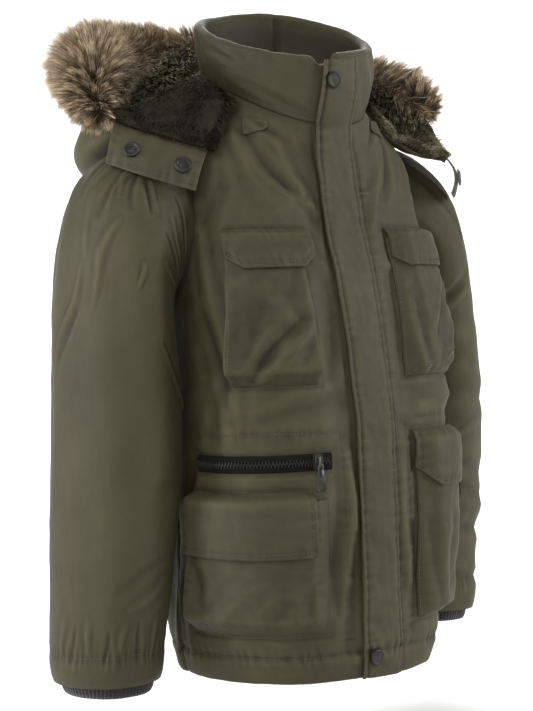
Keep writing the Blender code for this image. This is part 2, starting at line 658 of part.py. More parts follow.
def pocket_flap(name, side, flap, bag):
    """A flap sewn along its top edge, lying over the bag's mouth, its corners cut off."""
    (u0, u1), (h_top, h_low) = flap["u"], flap["h"]
    grids = []
    corner = max(flap["chamfer"], FLAP_EDGE)
    us = np.concatenate(([u0, u0 + 0.35 * corner], np.linspace(u0 + corner, u1 - corner, 7),
                         [u1 - 0.35 * corner, u1]))
    near_end = np.minimum(us - u0, u1 - us)
    cut = np.clip(1 - near_end / max(flap["chamfer"], 1e-6), 0, 1) * 0.8 * flap["chamfer"]
    for out_more in (THIN, 0.0):
        rows = []
        for t in FLAP_ROWS:
            h = h_top + (h_low + cut - h_top) * t
            over_bag = pocket_depth(bag, us, h) + FLAP_STANDOFF
            rise = np.clip((h_top - h) / (h_top - bag["h"][0] - FLAP_LEAD), 0, 1)
            out = LIE + (over_bag - LIE) * rise ** 0.7 + out_more
            rows.append(BODY.place(side, us, h, out)[0])
        grids.append(np.array(rows))
    wall(name, grids[0], grids[1], "shell_cloth")


def pockets():
    for side in SIDES:
        name = SIDE_NAME[side]
        pocket_bag("chest_bag_" + name, side, CHEST_BAG[side])
        pocket_flap("chest_flap_" + name, side, CHEST_FLAP, CHEST_BAG[side])
        pocket_bag("lower_bag_" + name, side, LOWER_BAG[side])
        pocket_flap("lower_flap_" + name, side, LOWER_FLAP[side], LOWER_BAG[side])


# Hood --------------------------------------------------------------------------------

def hood_fur(place):
    """Centre and radius of the fur at a place along the hood's rim."""
    row = smooth_rows(HOOD_ROWS, place)
    angle = math.radians(row[1])
    end = min(place - FUR_SPAN[0], FUR_SPAN[1] - place) / (FUR_SPAN[1] - FUR_SPAN[0])
    taper = 0.4 + 0.6 * math.sqrt(min(max(end / 0.10, 0.0), 1.0))
    return (row[10] * math.sin(angle), row[10] * math.cos(angle), row[11]), row[12] * taper


def hood_section(place, steps):
    """Middle of the hood's cloth at a place round the neck, from the seam (0) to the rim (1)."""
    row = smooth_rows(HOOD_ROWS, place)
    level = round(HOOD_SEAM_LEVEL * (Body.LEVELS - 1))
    ring = BODY.grid[level]
    bearing = np.degrees(np.arctan2(ring[::-1, 0], ring[::-1, 1]))
    part = np.interp(abs(row[0]), bearing, np.linspace(1, 0, Body.ROUND))
    side = -1 if row[0] < 0 else 1
    lift = HOOD_SHELL_WALL + 0.5 * HOOD_PLY_GAP + 0.6
    seam = BODY.point(side, part, HOOD_SEAM_LEVEL, lift)[0].reshape(3)
    knots = ((0.0, math.hypot(seam[0], seam[1]), seam[2]), (0.25, row[2], row[3]),
             (0.5, row[4], row[5]), (0.75, row[6], row[7]), (1.0, row[8], row[9]))
    r, z = smooth_rows(knots, steps).T
    angle = np.radians(row[0] + (row[1] - row[0]) * np.asarray(steps))
    return np.stack((r * np.sin(angle), r * np.cos(angle), z), axis=-1)


def surfaces_below_hood():
    """Points and outward normals of the body and the sleeves' upper parts."""
    points, normals = [], []
    part, level = np.meshgrid(np.linspace(0, 1, 121), np.linspace(0.6, 1, 61))
    angle, place = np.meshgrid(np.arange(0, 360, 5.0), np.linspace(0, 0.35, 36))
    for side in SIDES:
        body, normal = BODY.point(side, part, level)
        points.append(body.reshape(-1, 3))
        normals.append(normal.reshape(-1, 3))
        sleeve = sleeve_ring(side, place, angle)
        more = sleeve_ring(side, place, angle, 1.0)
        points.append(sleeve.reshape(-1, 3))
        normals.append(unit(more - sleeve).reshape(-1, 3))
    return np.concatenate(points), np.concatenate(normals)


def hood_normals(middle):
    """Unit normals of the hood's cloth, on the plush side."""
    normal = unit(np.cross(np.gradient(middle, axis=1), np.gradient(middle, axis=0)))
    wide = np.pad(normal, ((1, 1), (1, 1), (0, 0)), mode="edge")
    normal = unit(2 * normal + wide[:-2, 1:-1] + wide[2:, 1:-1] + wide[1:-1, :-2]
                  + wide[1:-1, 2:])
    return normal if normal[len(middle) // 2, 2, 2] > 0 else -normal


def reach_of_wall(facing):
    """How far the cloth reaches along a direction it faces by this cosine."""
    half = 0.5 * HOOD_PLY_GAP
    return np.maximum((half + HOOD_SHELL_WALL) * facing, -(half + HOOD_PLUSH_WALL) * facing)


def stand_clear(points, normals, gaps, below, below_normals, fur, fur_radius):
    """Move points off the garment below them and off the fur."""
    for index, normal in enumerate(normals):
        point = points[index]
        near = np.argmin(np.sum((below - point) ** 2, axis=1))
        height = np.dot(point - below[near], below_normals[near])
        least = reach_of_wall(np.dot(normal, below_normals[near])) + HOOD_STAND
        point = point + below_normals[near] * max(least - height, 0.0)
        near = np.argmin(np.linalg.norm(fur - point, axis=1) - fur_radius)
        distance = np.linalg.norm(point - fur[near])
        away = (point - fur[near]) / distance
        least = fur_radius[near] + reach_of_wall(np.dot(normal, away)) + gaps[index]
        points[index] = point + away * max(least - distance, 0.0)


def hood_middle(places, steps):
    """Grid [places, steps] of the hood's cloth, clear of the garment and of the fur."""
    middle = np.array([hood_section(place, steps) for place in places])
    below, below_normals = surfaces_below_hood()
    along = np.linspace(FUR_SPAN[0], FUR_SPAN[1], 161)
    fur = np.array([hood_fur(place)[0] for place in along])
    fur_radius = np.array([hood_fur(place)[1] for place in along])
    gaps = np.tile(np.where(np.asarray(steps[1:]) < 1, FUR_CLEAR, FUR_SEAT), len(places))
    carries_fur = (places >= FUR_SPAN[0]) & (places <= FUR_SPAN[1])
    rim_fur = np.array([hood_fur(place)[0] for place in places])
    rim_radius = np.array([hood_fur(place)[1] for place in places])
    for turn in range(HOOD_EASINGS + HOOD_SETTLINGS):
        if turn < HOOD_EASINGS:
            eased = middle.copy()
            eased[1:-1, 1:-1] = (0.5 * middle[1:-1, 1:-1]
                                 + 0.125 * (middle[:-2, 1:-1] + middle[2:, 1:-1]
                                            + middle[1:-1, :-2] + middle[1:-1, 2:]))
            middle = eased
        normal = hood_normals(middle)
        away = unit(middle[:, -1] - rim_fur)
        facing = np.sum(away * normal[:, -1], axis=-1)
        seated = rim_fur + away * (rim_radius + reach_of_wall(facing) + FUR_SEAT)[:, None]
        middle[carries_fur, -1] = seated[carries_fur]
        free = middle[:, 1:].reshape(-1, 3)
        stand_clear(free, normal[:, 1:].reshape(-1, 3), gaps, below, below_normals, fur,
                    fur_radius)
        middle[:, 1:] = free.reshape(len(places), -1, 3)
    return middle


HOOD_MIDDLE = hood_middle(HOOD_PLACES, HOOD_STEPS)


def hood():
    middle = HOOD_MIDDLE
    normal = hood_normals(middle)
    half = 0.5 * HOOD_PLY_GAP
    wall("hood_lining", middle + normal * (half + HOOD_PLUSH_WALL), middle + normal * half,
         "plush")
    wall("hood_shell", middle - normal * half, middle - normal * (half + HOOD_SHELL_WALL),
         "shell_cloth")


def fur_trim():
    places = [place for place in HOOD_PLACES if FUR_SPAN[0] <= place <= FUR_SPAN[1]]
    centre = np.array([hood_fur(place)[0] for place in places])
    radius = np.array([hood_fur(place)[1] for place in places])
    along = unit(np.gradient(centre, axis=0))
    side_way = unit(np.cross(along, (0, 0, 1.0)))
    up_way = np.cross(side_way, along)
    turn = np.arange(FUR_SIDES) * 2 * math.pi / FUR_SIDES
    rings = (centre[:, None] + radius[:, None, None]
             * (side_way[:, None] * np.cos(turn)[None, :, None]
                + up_way[:, None] * np.sin(turn)[None, :, None]))
    ring_loft("fur_trim", rings, "fur")


def hood_tab_point(side, along, down, out=0.0):
    """A point of a hood's snap tab, from its sewn upper edge (down 0) to its free one."""
    tab = HOOD_TABS[side]
    place = tab["places"][0] + (tab["places"][1] - tab["places"][0]) * along
    end = unit(HOOD_MIDDLE[:, -1] - HOOD_MIDDLE[:, -2])
    sewn = HOOD_MIDDLE[:, -1] + end * TAB_SEAM
    top = np.array([np.interp(place, HOOD_PLACES, column) for column in sewn.T])
    share = np.linspace(0, 1, len(tab["low"]))
    low = np.array([np.interp(along, share, column) for column in zip(*tab["low"])])
    run = np.array(tab["low"][-1]) - np.array(tab["low"][0])
    face = unit(np.cross(low - top, run))
    if face[0] * side < 0:
        face = -face
    bow = tab["bow"] * math.sin(math.pi * down)
    return top * (1 - down) + low * down + face * (bow + out), face


def tabs():
    for side in SIDES:
        outer, inner = [], []
        for down in (0.0, 0.3, 0.6, 1.0):
            outer.append([hood_tab_point(side, t, down, THIN)[0] for t in np.linspace(0, 1, 9)])
            inner.append([hood_tab_point(side, t, down)[0] for t in np.linspace(0, 1, 9)])
        wall("hood_tab_" + SIDE_NAME[side], np.array(outer), np.array(inner), "shell_cloth")
        for number, along in enumerate(TAB_SNAPS, 1):
            out = THIN + 2.5 * SEAM_GAP
            point = hood_tab_point(side, along, 0.55, out)[0]
            run = (hood_tab_point(side, along + 0.1, 0.55)[0]
                   - hood_tab_point(side, along - 0.1, 0.55)[0])
            fall = (hood_tab_point(side, along, 0.7)[0]
                    - hood_tab_point(side, along, 0.4)[0])
            normal = unit(np.cross(run, fall))
            normal = normal * (1 if normal[0] * side > 0 else -1)
            snap("snap_tab_%s_%d" % (SIDE_NAME[side], number), point, normal)


def leaf_tabs():
    """Small pointed tabs at the two ends of the hood's seam, lying on the fronts."""
    for side in SIDES:
        outer, inner = [], []
        for t in (0.0, 0.25, 0.5, 0.75, 1.0):
            half = 0.5 * LEAF_TAB_WIDTH * math.sqrt(max(1 - t * t, 0.01))
            u = LEAF_TAB_AT[0] - LEAF_TAB_LENGTH * t
            h = LEAF_TAB_AT[1] + half * np.array((-1.0, 0.0, 1.0))
            outer.append(BODY.place(side, np.full(3, u), h, LIE + THIN)[0])
            inner.append(BODY.place(side, np.full(3, u), h, LIE)[0])
        wall("leaf_tab_" + SIDE_NAME[side], np.array(outer), np.array(inner), "shell_cloth")


# Fasteners ---------------------------------------------------------------------------

def snap(name, point, normal):
    """A press stud's cap: a low round cap with a rounded edge."""
    across, along = frame_at(normal)
    rings = []
    for radius, height in ((SNAP_RADIUS, 0.0), (SNAP_RADIUS, 0.6 * SNAP_HEIGHT),
                           (0.82 * SNAP_RADIUS, SNAP_HEIGHT)):
        turn = np.arange(SNAP_STEPS) * 2 * math.pi / SNAP_STEPS
        rings.append(point + radius * (np.outer(np.cos(turn), across)
                                       + np.outer(np.sin(turn), along)) + normal * height)
    ring_loft(name, np.array(rings), "gunmetal")


def placket_snaps():
    for name, u, h in (("snap_collar", -7.0, 2.0), ("snap_hem", -13.0, -511.0)):
        out = LIE + PLACKET_WALL + 2 * SEAM_GAP
        point = front_strip_point(u, h, out)
        beside = front_strip_point(u + 5, h, out) - front_strip_point(u - 5, h, out)
        above = front_strip_point(u, h + 5, out) - front_strip_point(u, h - 5, out)
        snap(name, point, unit(np.cross(beside, above)))


def box_points(centre, across, out, along, size):
    corners = []
    for i in (-0.5, 0.5):
        for j in (-0.5, 0.5):
            for k in (-0.5, 0.5):
                corners.append(centre + across * size[0] * i + out * size[1] * j
                               + along * size[2] * k)
    return corners


BOX_FACES = [(0, 1, 3, 2), (4, 6, 7, 5), (0, 4, 5, 1), (2, 3, 7, 6), (0, 2, 6, 4), (1, 5, 7, 3)]


def zips():
    for side in SIDES:
        band = ZIP_BAND[side]
        us = np.linspace(band["u"][0], band["u"][1], 12)
        grids = []
        for out in (ZIP_WALL, 0.0):
            u, h = np.meshgrid(us, band["h"] + ZIP_WIDTH * np.array((0.5, 0.0, -0.5)))
            base = LIE if side < 0 else pocket_depth(LOWER_BAG[side], u, h) + LIE
            grids.append(BODY.place(side, u, h, base + out)[0])
        wall("zip_" + SIDE_NAME[side], grids[0], grids[1], "black_zip")


def slider_and_pull():
    """Slider on the right pocket's zip, and the pull that hangs and swings on it."""
    band = ZIP_BAND[-1]
    u = band["u"][0] + 16.0
    base = LIE + ZIP_WALL + SEAM_GAP
    point, normal = BODY.place(-1, u, band["h"], base + 0.5 * SLIDER_SIZE[1])
    point, normal = point.reshape(3), normal.reshape(3)
    out = unit(normal * (1, 1, 0))
    across = np.cross((0, 0, 1.0), out)
    up = np.array((0, 0, 1.0))
    add_solid("zip_slider", box_points(point, across, out, up, SLIDER_SIZE), BOX_FACES,
              "gunmetal")
    pivot = point + out * (0.5 * SLIDER_SIZE[1] + PULL_STANDOFF) - up * PULL_DROP
    hinge = bpy.data.objects.new("zip_pull_hinge", None)
    hinge.location = tuple(pivot * MM)
    bpy.context.scene.collection.objects.link(hinge)
    bpy.context.view_layer.update()
    rings = []
    for t in (0.0, 0.15, 0.6, 1.0):
        width = PULL_WIDTH[0] + (PULL_WIDTH[1] - PULL_WIDTH[0]) * t
        centre = pivot + up * (PULL_STUB - PULL_LENGTH * t)
        rings.append([centre + across * width * i + out * PULL_WALL * j
                      for i, j in ((-0.5, -0.5), (0.5, -0.5), (0.5, 0.5), (-0.5, 0.5))])
    pull = ring_loft("zip_pull", np.array(rings), "gunmetal")
    pull.parent = hinge
    pull.matrix_parent_inverse = hinge.matrix_world.inverted()


def main():
    for old in list(bpy.data.objects):
        bpy.data.objects.remove(old, do_unlink=True)
    fronts()
    back()
    sleeves()
    cuffs()
    collar()
    placket()
    pockets()
    hood()
    fur_trim()
    tabs()
    leaf_tabs()
    placket_snaps()
    zips()
    slider_and_pull()


main()
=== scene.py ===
# Looks of a child's hooded parka with fur trim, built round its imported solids. Sizes are in
# millimetres and MM turns them into metres. The frame is the solids': the origin is the
# centre of the neck base, +Z is up, the front faces -Y, the wearer's right is -X and side -1.
# A place on the body is given by u, the way round from the centre front, and the height h.
import math

import bpy
import numpy as np
from mathutils import Matrix, Vector


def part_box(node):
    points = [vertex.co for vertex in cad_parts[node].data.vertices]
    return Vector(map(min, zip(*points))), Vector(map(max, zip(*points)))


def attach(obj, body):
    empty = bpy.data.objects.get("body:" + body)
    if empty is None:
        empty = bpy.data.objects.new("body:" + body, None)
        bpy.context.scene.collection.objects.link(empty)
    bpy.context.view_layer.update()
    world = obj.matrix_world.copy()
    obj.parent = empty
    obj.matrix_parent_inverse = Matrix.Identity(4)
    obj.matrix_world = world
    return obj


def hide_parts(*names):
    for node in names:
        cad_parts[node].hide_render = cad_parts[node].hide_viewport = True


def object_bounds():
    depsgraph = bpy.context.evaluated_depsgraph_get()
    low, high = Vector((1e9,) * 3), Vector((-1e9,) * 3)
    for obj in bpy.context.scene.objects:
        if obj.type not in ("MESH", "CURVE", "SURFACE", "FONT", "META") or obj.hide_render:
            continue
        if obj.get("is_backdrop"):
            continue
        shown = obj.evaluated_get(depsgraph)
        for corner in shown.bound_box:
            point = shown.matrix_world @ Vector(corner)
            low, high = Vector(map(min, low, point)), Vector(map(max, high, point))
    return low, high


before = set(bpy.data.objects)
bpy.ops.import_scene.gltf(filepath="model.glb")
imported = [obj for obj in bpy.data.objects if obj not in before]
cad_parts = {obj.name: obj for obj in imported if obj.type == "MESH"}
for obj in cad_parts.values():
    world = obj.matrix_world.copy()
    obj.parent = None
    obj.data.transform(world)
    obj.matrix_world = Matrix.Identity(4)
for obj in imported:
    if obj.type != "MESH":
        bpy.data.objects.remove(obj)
cad_bounds = [list(corner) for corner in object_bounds()]

MM = 0.001
SEAM_GAP = 0.3      # between two pieces at a seam
LIE = 0.9           # from a panel to the edge of a piece that lies on it
CLOTH = 3.0         # lightly padded shell wall
THIN = 1.8          # unpadded double cloth: flaps, pockets, tabs
SIDES = (-1, 1)
SIDE_NAME = {-1: "right", 1: "left"}
FRONT = np.array((0, -1.0, 0))      # the way the garment faces

# Body, a row for each level from hem to neck:
# level half_width square front_y front_z back_y back_z side_z seam_y press left.
BODY_ROWS = (
    (0.00, 119, 2.3, -116, -530, 104, -530, -530, 24, 0.00, 0.890),
    (0.05, 125, 2.5, -119, -505, 108, -505, -505, 24, 0.02, 0.895),
    (0.20, 130, 3.0, -119, -430, 112, -430, -430, 26, 0.07, 0.905),
    (0.38, 132, 3.4, -117, -333, 114, -333, -333, 28, 0.10, 0.935),
    (0.52, 132, 3.6, -109, -255, 116, -252, -254, 30, 0.11, 0.975),
    (0.64, 130, 3.6, -98, -190, 118, -178, -186, 30, 0.07, 1.000),
    (0.74, 125, 3.3, -84, -140, 117, -122, -118, 30, 0.02, 1.000),
    (0.84, 118, 2.9, -76, -98, 108, -76, -50, 28, 0.00, 1.000),
    (0.92, 94, 2.4, -73, -66, 90, -36, -22, 14, 0.00, 1.000),
    (1.00, 71, 2.1, -72, -38, 68, 6, -2, 2, 0.00, 1.000),
)
PRESS_CENTRE_Y = 40.0       # where the arms press the sides in
PRESS_WIDTH = 55.0
HEIGHT_POWER = 1.2          # how a level turns from its side height to its front height
ARMPIT_LEVEL = 0.64
SHOULDER_LEVEL = 0.84
ARMHOLE_MIDDLE = 0.5 * (ARMPIT_LEVEL + SHOULDER_LEVEL)
ARMHOLE_HALF = 0.5 * (SHOULDER_LEVEL - ARMPIT_LEVEL)
ARMHOLE_HALF_WIDTH = 52.0

# Largest folds of the body: side (0 is both), from (u, h) to (u, h), width, depth.
BODY_FOLDS = (
    (-1, 34, -66, 118, -112, 15, -2.4),
    (1, 34, -62, 104, -100, 15, -2.2),
    (-1, 182, -196, 162, -250, 13, -3.0),
    (1, 178, -196, 152, -254, 13, -3.0),
    (-1, 140, -282, 60, -302, 18, 2.5),
    (0, 36, -180, 38, -500, 13, -2.2),
    (0, 262, -200, 330, -300, 20, -3.5),
    (-1, 300, -330, 380, -350, 20, -3.0),
    (1, 290, -360, 370, -336, 20, -3.0),
    (0, 250, -400, 250, -500, 18, -2.5),
    (0, 320, -420, 330, -505, 18, -2.2),
)

# Sleeve, a row for each ring after the armhole, its inner and outer edge, and its depth:
# place in_x in_z out_x out_z centre_y depth.
SLEEVE_ROWS = (
    (0.00, 127, -188, 131, -46, 30, 55),
    (0.07, 129, -193, 154, -51, 31, 60),
    (0.14, 130, -199, 180, -64, 33, 65),
    (0.21, 129, -207, 201, -88, 35, 69),
    (0.29, 127, -220, 213, -128, 37, 73),
    (0.38, 124, -243, 220, -180, 38, 76),
    (0.50, 122, -285, 225, -250, 38, 77),
    (0.62, 122, -335, 228, -325, 40, 76),
    (0.74, 125, -390, 230, -392, 44, 72),
    (0.86, 131, -450, 231, -455, 48, 66),
    (0.95, 136, -496, 232, -502, 52, 62),
    (1.00, 138, -526, 229, -531, 54, 60),
)
SLEEVE_LIFT = {-1: 0.0, 1: 20.0}    # how much higher each sleeve end is gathered
SLEEVE_WIDER = {-1: 0.0, 1: 10.0}    # how much further out each sleeve stands
# Folds of a sleeve: side, from (angle, place) to (angle, place), width in degrees, depth.
SLEEVE_FOLDS = (
    (-1, 30, 0.04, 48, 0.36, 13, -3.5),
    (-1, 68, 0.06, 84, 0.30, 13, -3.0),
    (1, 30, 0.04, 50, 0.30, 14, -3.0),
    (0, 100, 0.12, 120, 0.55, 14, -4.0),
    (0, 150, 0.22, 100, 0.62, 14, -3.5),
    (0, 60, 0.50, 80, 0.92, 16, -3.0),
    (0, 20, 0.45, 30, 0.85, 16, -2.5),
    (1, 10, 0.88, 110, 0.90, 7, -3.0),
    (0, 300, 0.08, 280, 0.40, 14, -3.5),
    (0, 330, 0.30, 310, 0.75, 16, -3.5),
    (0, 250, 0.35, 230, 0.80, 15, -3.0),
)
SLEEVE_LENGTH = 500.0       # along the arm
SLEEVE_RADIUS = 76.0        # for the way round in mm
SLEEVE_HEM = 24.0           # from its end to the sewing of its casing
SLEEVE_HEAD_ROLL = 1.2      # how far the head swells beside the armhole seam
SLEEVE_CREASE_SHARE = 0.72
DEGREE_MM = 1.25            # mm round the sleeve to a degree, for its creases
CUFF_TOP_PLACE = 0.95
CUFF_REACH = 11.0           # how far the rib shows below the sleeve
CUFF_WALL = 2.2
CUFF_RIBS = 36              # half as many as there are ribs
CUFF_INSET = 7.0            # how far inside the sleeve its lower end is

# Collar
COLLAR_WALL = 10.0
COLLAR_TOP_RADIUS = (83.0, 80.0)
COLLAR_TOP_Z = 49.0         # height of the rim at the side
COLLAR_TOP_SLOPE = 0.36     # rise of the rim towards the back
COLLAR_TOP_SKEW = 0.07      # rise of the rim towards the wearer's left
COLLAR_BULGE = 4.0
COLLAR_HALF_OPENING = 0.4   # the two ends meet at the centre front

# Placket over the front zip, a row for each height, its two edges: h right left.
PLACKET_ROWS = (
    (-531, -24, 23),
    (-420, -24, 22),
    (-300, -22, 22),
    (-190, -23, 22),
    (-100, -25, 21),
    (-38, -21, 19),
    (22, -14, 20),
)
PLACKET_TOP_RISE = 60.0     # how far it runs up the collar
PLACKET_WALL = 2.6
PLACKET_STITCHES = {"l": 4.2, "r": 3.0, "tb": 4.0}   # from its edges to the sewing

# Pockets. u runs from the inner edge outward, h from the top down. A bag's outer edge
# flares out by `flare` lower down; its side gusset leans in by side_in, its floor by floor_in;
# thin is the share of its depth lost at the outer edge.
CHEST_BAG = {
    -1: dict(u=(56, 121), h=(-140, -268), flare=16.0, depth=(9.0, 19.0), side_in=4.0,
             floor_in=11.0, thin=0.0),
    1: dict(u=(46, 118), h=(-140, -266), flare=12.0, depth=(10.0, 13.0), side_in=3.0,
            floor_in=8.0, thin=0.35),
}
CHEST_FLAP = dict(u=(47, 122), h=(-131, -169), chamfer=13.0)
LOWER_BAG = {
    -1: dict(u=(56, 193), h=(-368, -486), flare=2.0, depth=(12.0, 20.0), side_in=17.0,
             floor_in=15.0, thin=0.0),
    1: dict(u=(50, 188), h=(-325, -484), flare=2.0, depth=(10.0, 16.0), side_in=6.0,
            floor_in=10.0, thin=0.45),
}
LOWER_FLAP = {
    -1: dict(u=(73, 192), h=(-360, -415), chamfer=0.0),
    1: dict(u=(48, 184), h=(-314, -366), chamfer=22.0),
}
BAG_OUTER_IN = 3.0          # how far the outer edge of a bag's face is set in
BAG_STITCH = 2.4            # from the edge of a bag's face to its sewing
BAG_SINK = 0.30             # depth of the soft hollow across a bag's face
FLAP_STANDOFF = 2.2         # between a bag's face and the flap over it
FLAP_EDGE = 8.0             # closer columns at the ends of a flap with square corners
FLAP_STITCH = 5.0           # from a flap's free edges to its sewing
FLAP_TOP_STITCHES = (3.0, 9.0)
FLAP_LEAD = 2.0             # a flap is fully off this far above the bag's mouth
ZIP_BAND = {-1: dict(u=(50, 188), h=-335.0), 1: dict(u=(120, 164), h=-376.0)}
ZIP_WIDTH = 15.0
ZIP_WALL = 1.6
TOOTH_PITCH = 1.45
# A tooth from above: (across, along) places, its narrow head up.
TOOTH_OUTLINE = ((-0.55, -1.9), (0.55, -1.9), (0.62, 0.9), (0.42, 1.9), (-0.42, 1.9),
                 (-0.62, 0.9))
SLIDER_SIZE = (9.0, 5.0, 15.0)      # across, out, along the height
SLIDER_AT = 16.0            # from the front end of the band to the slider
PULL_LENGTH = 25.0
PULL_WIDTH = (6.0, 10.0)
PULL_WALL = 1.6
PULL_STANDOFF = 1.7         # from the slider's face to the pull's pivot
PULL_DROP = 2.0             # from the slider's middle down to the pivot
PULL_STUB = 1.0             # how far the pull runs above its pivot
# The bent wire that the pull hangs on: (across, up) places from the pull's top.
PULL_LOOP = ((-2.3, -6.0), (-2.2, -3.0), (-1.9, -1.4), (-1.2, -0.7), (0.0, -0.55),
             (1.2, -0.7), (1.9, -1.4), (2.2, -3.0), (2.3, -6.0))

# Hood laid back round the neck, a row for each station from the wearer's right front,
# round the back, to the wearer's left front. Angles are measured from the back. The cloth
# runs from the neck seam through three points to the rim, and the fur lies along the rim.
# Columns: place seam_a rim_a r1 z1 r2 z2 r3 z3 rim_r rim_z fur_r fur_z fur_size.
HOOD_ROWS = (
    (0.00, -106, -108, 90, -20, 99, -28, 110, -42, 121, -59, 130, -60, 10),
    (0.06, -100, -101, 91, -4, 104, -8, 120, -28, 133, -53, 150, -50, 12),
    (0.13, -93, -91, 92, 4, 110, 2, 137, -16, 155, -42, 176, -40, 14),
    (0.20, -85, -80, 95, 0, 120, -12, 156, -38, 172, -28, 191, -20, 20),
    (0.30, -64, -64, 106, -16, 158, -62, 202, -58, 154, 10, 186, 18, 33),
    (0.42, -38, -40, 116, -42, 172, -98, 208, -54, 148, 32, 184, 40, 35),
    (0.53, 0, 0, 118, -60, 160, -114, 186, -50, 140, 58, 174, 50, 31),
    (0.63, 36, 40, 116, -44, 166, -86, 188, -44, 146, 36, 178, 34, 28),
    (0.73, 62, 64, 106, -16, 140, -44, 166, -34, 148, 20, 174, 20, 24),
    (0.82, 82, 82, 97, -14, 121, -38, 146, -42, 153, 4, 173, 2, 21),
    (0.89, 93, 92, 95, -22, 118, -44, 142, -52, 164, -26, 176, -16, 15),
    (0.93, 97, 94, 94, -28, 117, -46, 144, -58, 180, -56, 188, -50, 10),
    (1.00, 106, 109, 93, -34, 112, -46, 132, -58, 158, -64, 176, -62, 10),
)
HOOD_SEAM_LEVEL = 0.975     # level of the body where the hood is fastened
HOOD_SHELL_WALL = 2.2
HOOD_PLUSH_WALL = 4.0
HOOD_PLY_GAP = 0.8          # between the hood's shell and its plush
HOOD_PLACES = np.linspace(0.0, 1.0, 27)
HOOD_STEPS = (0.0, 0.15, 0.30, 0.45, 0.58, 0.69, 0.79, 0.87, 0.925, 0.965, 1.0)
HOOD_EASINGS = 4            # rounds of smoothing, each followed by standing clear
HOOD_SETTLINGS = 3          # rounds of standing clear alone
FUR_SPAN = (0.17, 0.90)     # stretch of the hood's rim that carries the fur
FUR_SEAT = 1.3              # from the hood's edge to the fur
FUR_CLEAR = 3.4             # from the rest of the hood to the fur
HOOD_STAND = 1.2            # least distance of the hood's cloth from body and sleeves
HOOD_RIM_STITCH = 14.0      # from the rim to the sewing beside it
HOOD_SEAMS = (0.41, 0.64)    # places of the seams beside the hood's middle panel
# The plush's soft rolls: place along the rim, step from the seam to the rim, their widths,
# and how far the roll stands up.
PLUSH_SWELLS = (
    (0.19, 0.78, 0.06, 0.26, 10.0),
    (0.09, 0.45, 0.06, 0.25, 5.0),
    (0.02, 0.70, 0.04, 0.30, 3.0),
    (0.38, 0.88, 0.07, 0.10, 4.0),
    (0.52, 0.90, 0.06, 0.10, 3.0),
    (0.80, 0.80, 0.08, 0.18, 6.0),
    (0.93, 0.55, 0.05, 0.25, 5.0),
)
# Layers of loose pile and of fur: hairs, length or reach, width, and the fur's paleness.
PLUSH_LAYERS = ((29000, 6.5, 0.9), (29000, 8.5, 0.7))
FUR_LAYERS = ((38000, 0.80, 0.90, 0.02), (38000, 1.04, 0.66, 0.34), (38000, 1.30, 0.50, 0.76))

# Snap tabs at the hood's two front ends: the stretch of the rim that each is sewn to, its
# free lower edge, and how far it bows out.
HOOD_TABS = {
    -1: dict(places=(0.185, 0.0), bow=3.0,
             low=((-188, 16, -68), (-174, -16, -80), (-150, -34, -90), (-134, -44, -96))),
    1: dict(places=(1.0, 0.93), bow=6.0,
            low=((152, -56, -98), (167, -42, -101), (182, -26, -100), (198, -8, -94))),
}
TAB_SEAM = 0.9              # from the hood's rim to a tab
TAB_STITCH = 4.5            # from a tab's free edges to its sewing
TAB_SNAPS = (0.22, 0.74)    # how far along the tab each snap is
LEAF_TAB_AT = (93.0, -37.0)  # u and height of its sewn end
LEAF_TAB_LENGTH = 27.0
LEAF_TAB_WIDTH = 15.0

SNAP_RADIUS = 7.6
SNAP_HEIGHT = 2.4
# A stud's profile from its rim to its middle: share of the radius, share of the height.
CAP_SNAP = ((1.0, 0.0), (1.0, 0.35), (0.985, 0.6), (0.93, 0.85), (0.86, 0.97), (0.78, 1.0),
            (0.70, 0.99), (0.66, 0.90), (0.60, 0.88), (0.30, 0.92), (0.05, 0.94))
RING_SNAP = ((1.0, 0.0), (1.0, 0.35), (0.97, 0.65), (0.90, 0.92), (0.82, 1.0), (0.72, 0.96),
             (0.64, 0.75), (0.60, 0.45), (0.52, 0.38), (0.40, 0.40), (0.34, 0.62), (0.28, 0.72),
             (0.16, 0.74), (0.04, 0.74))

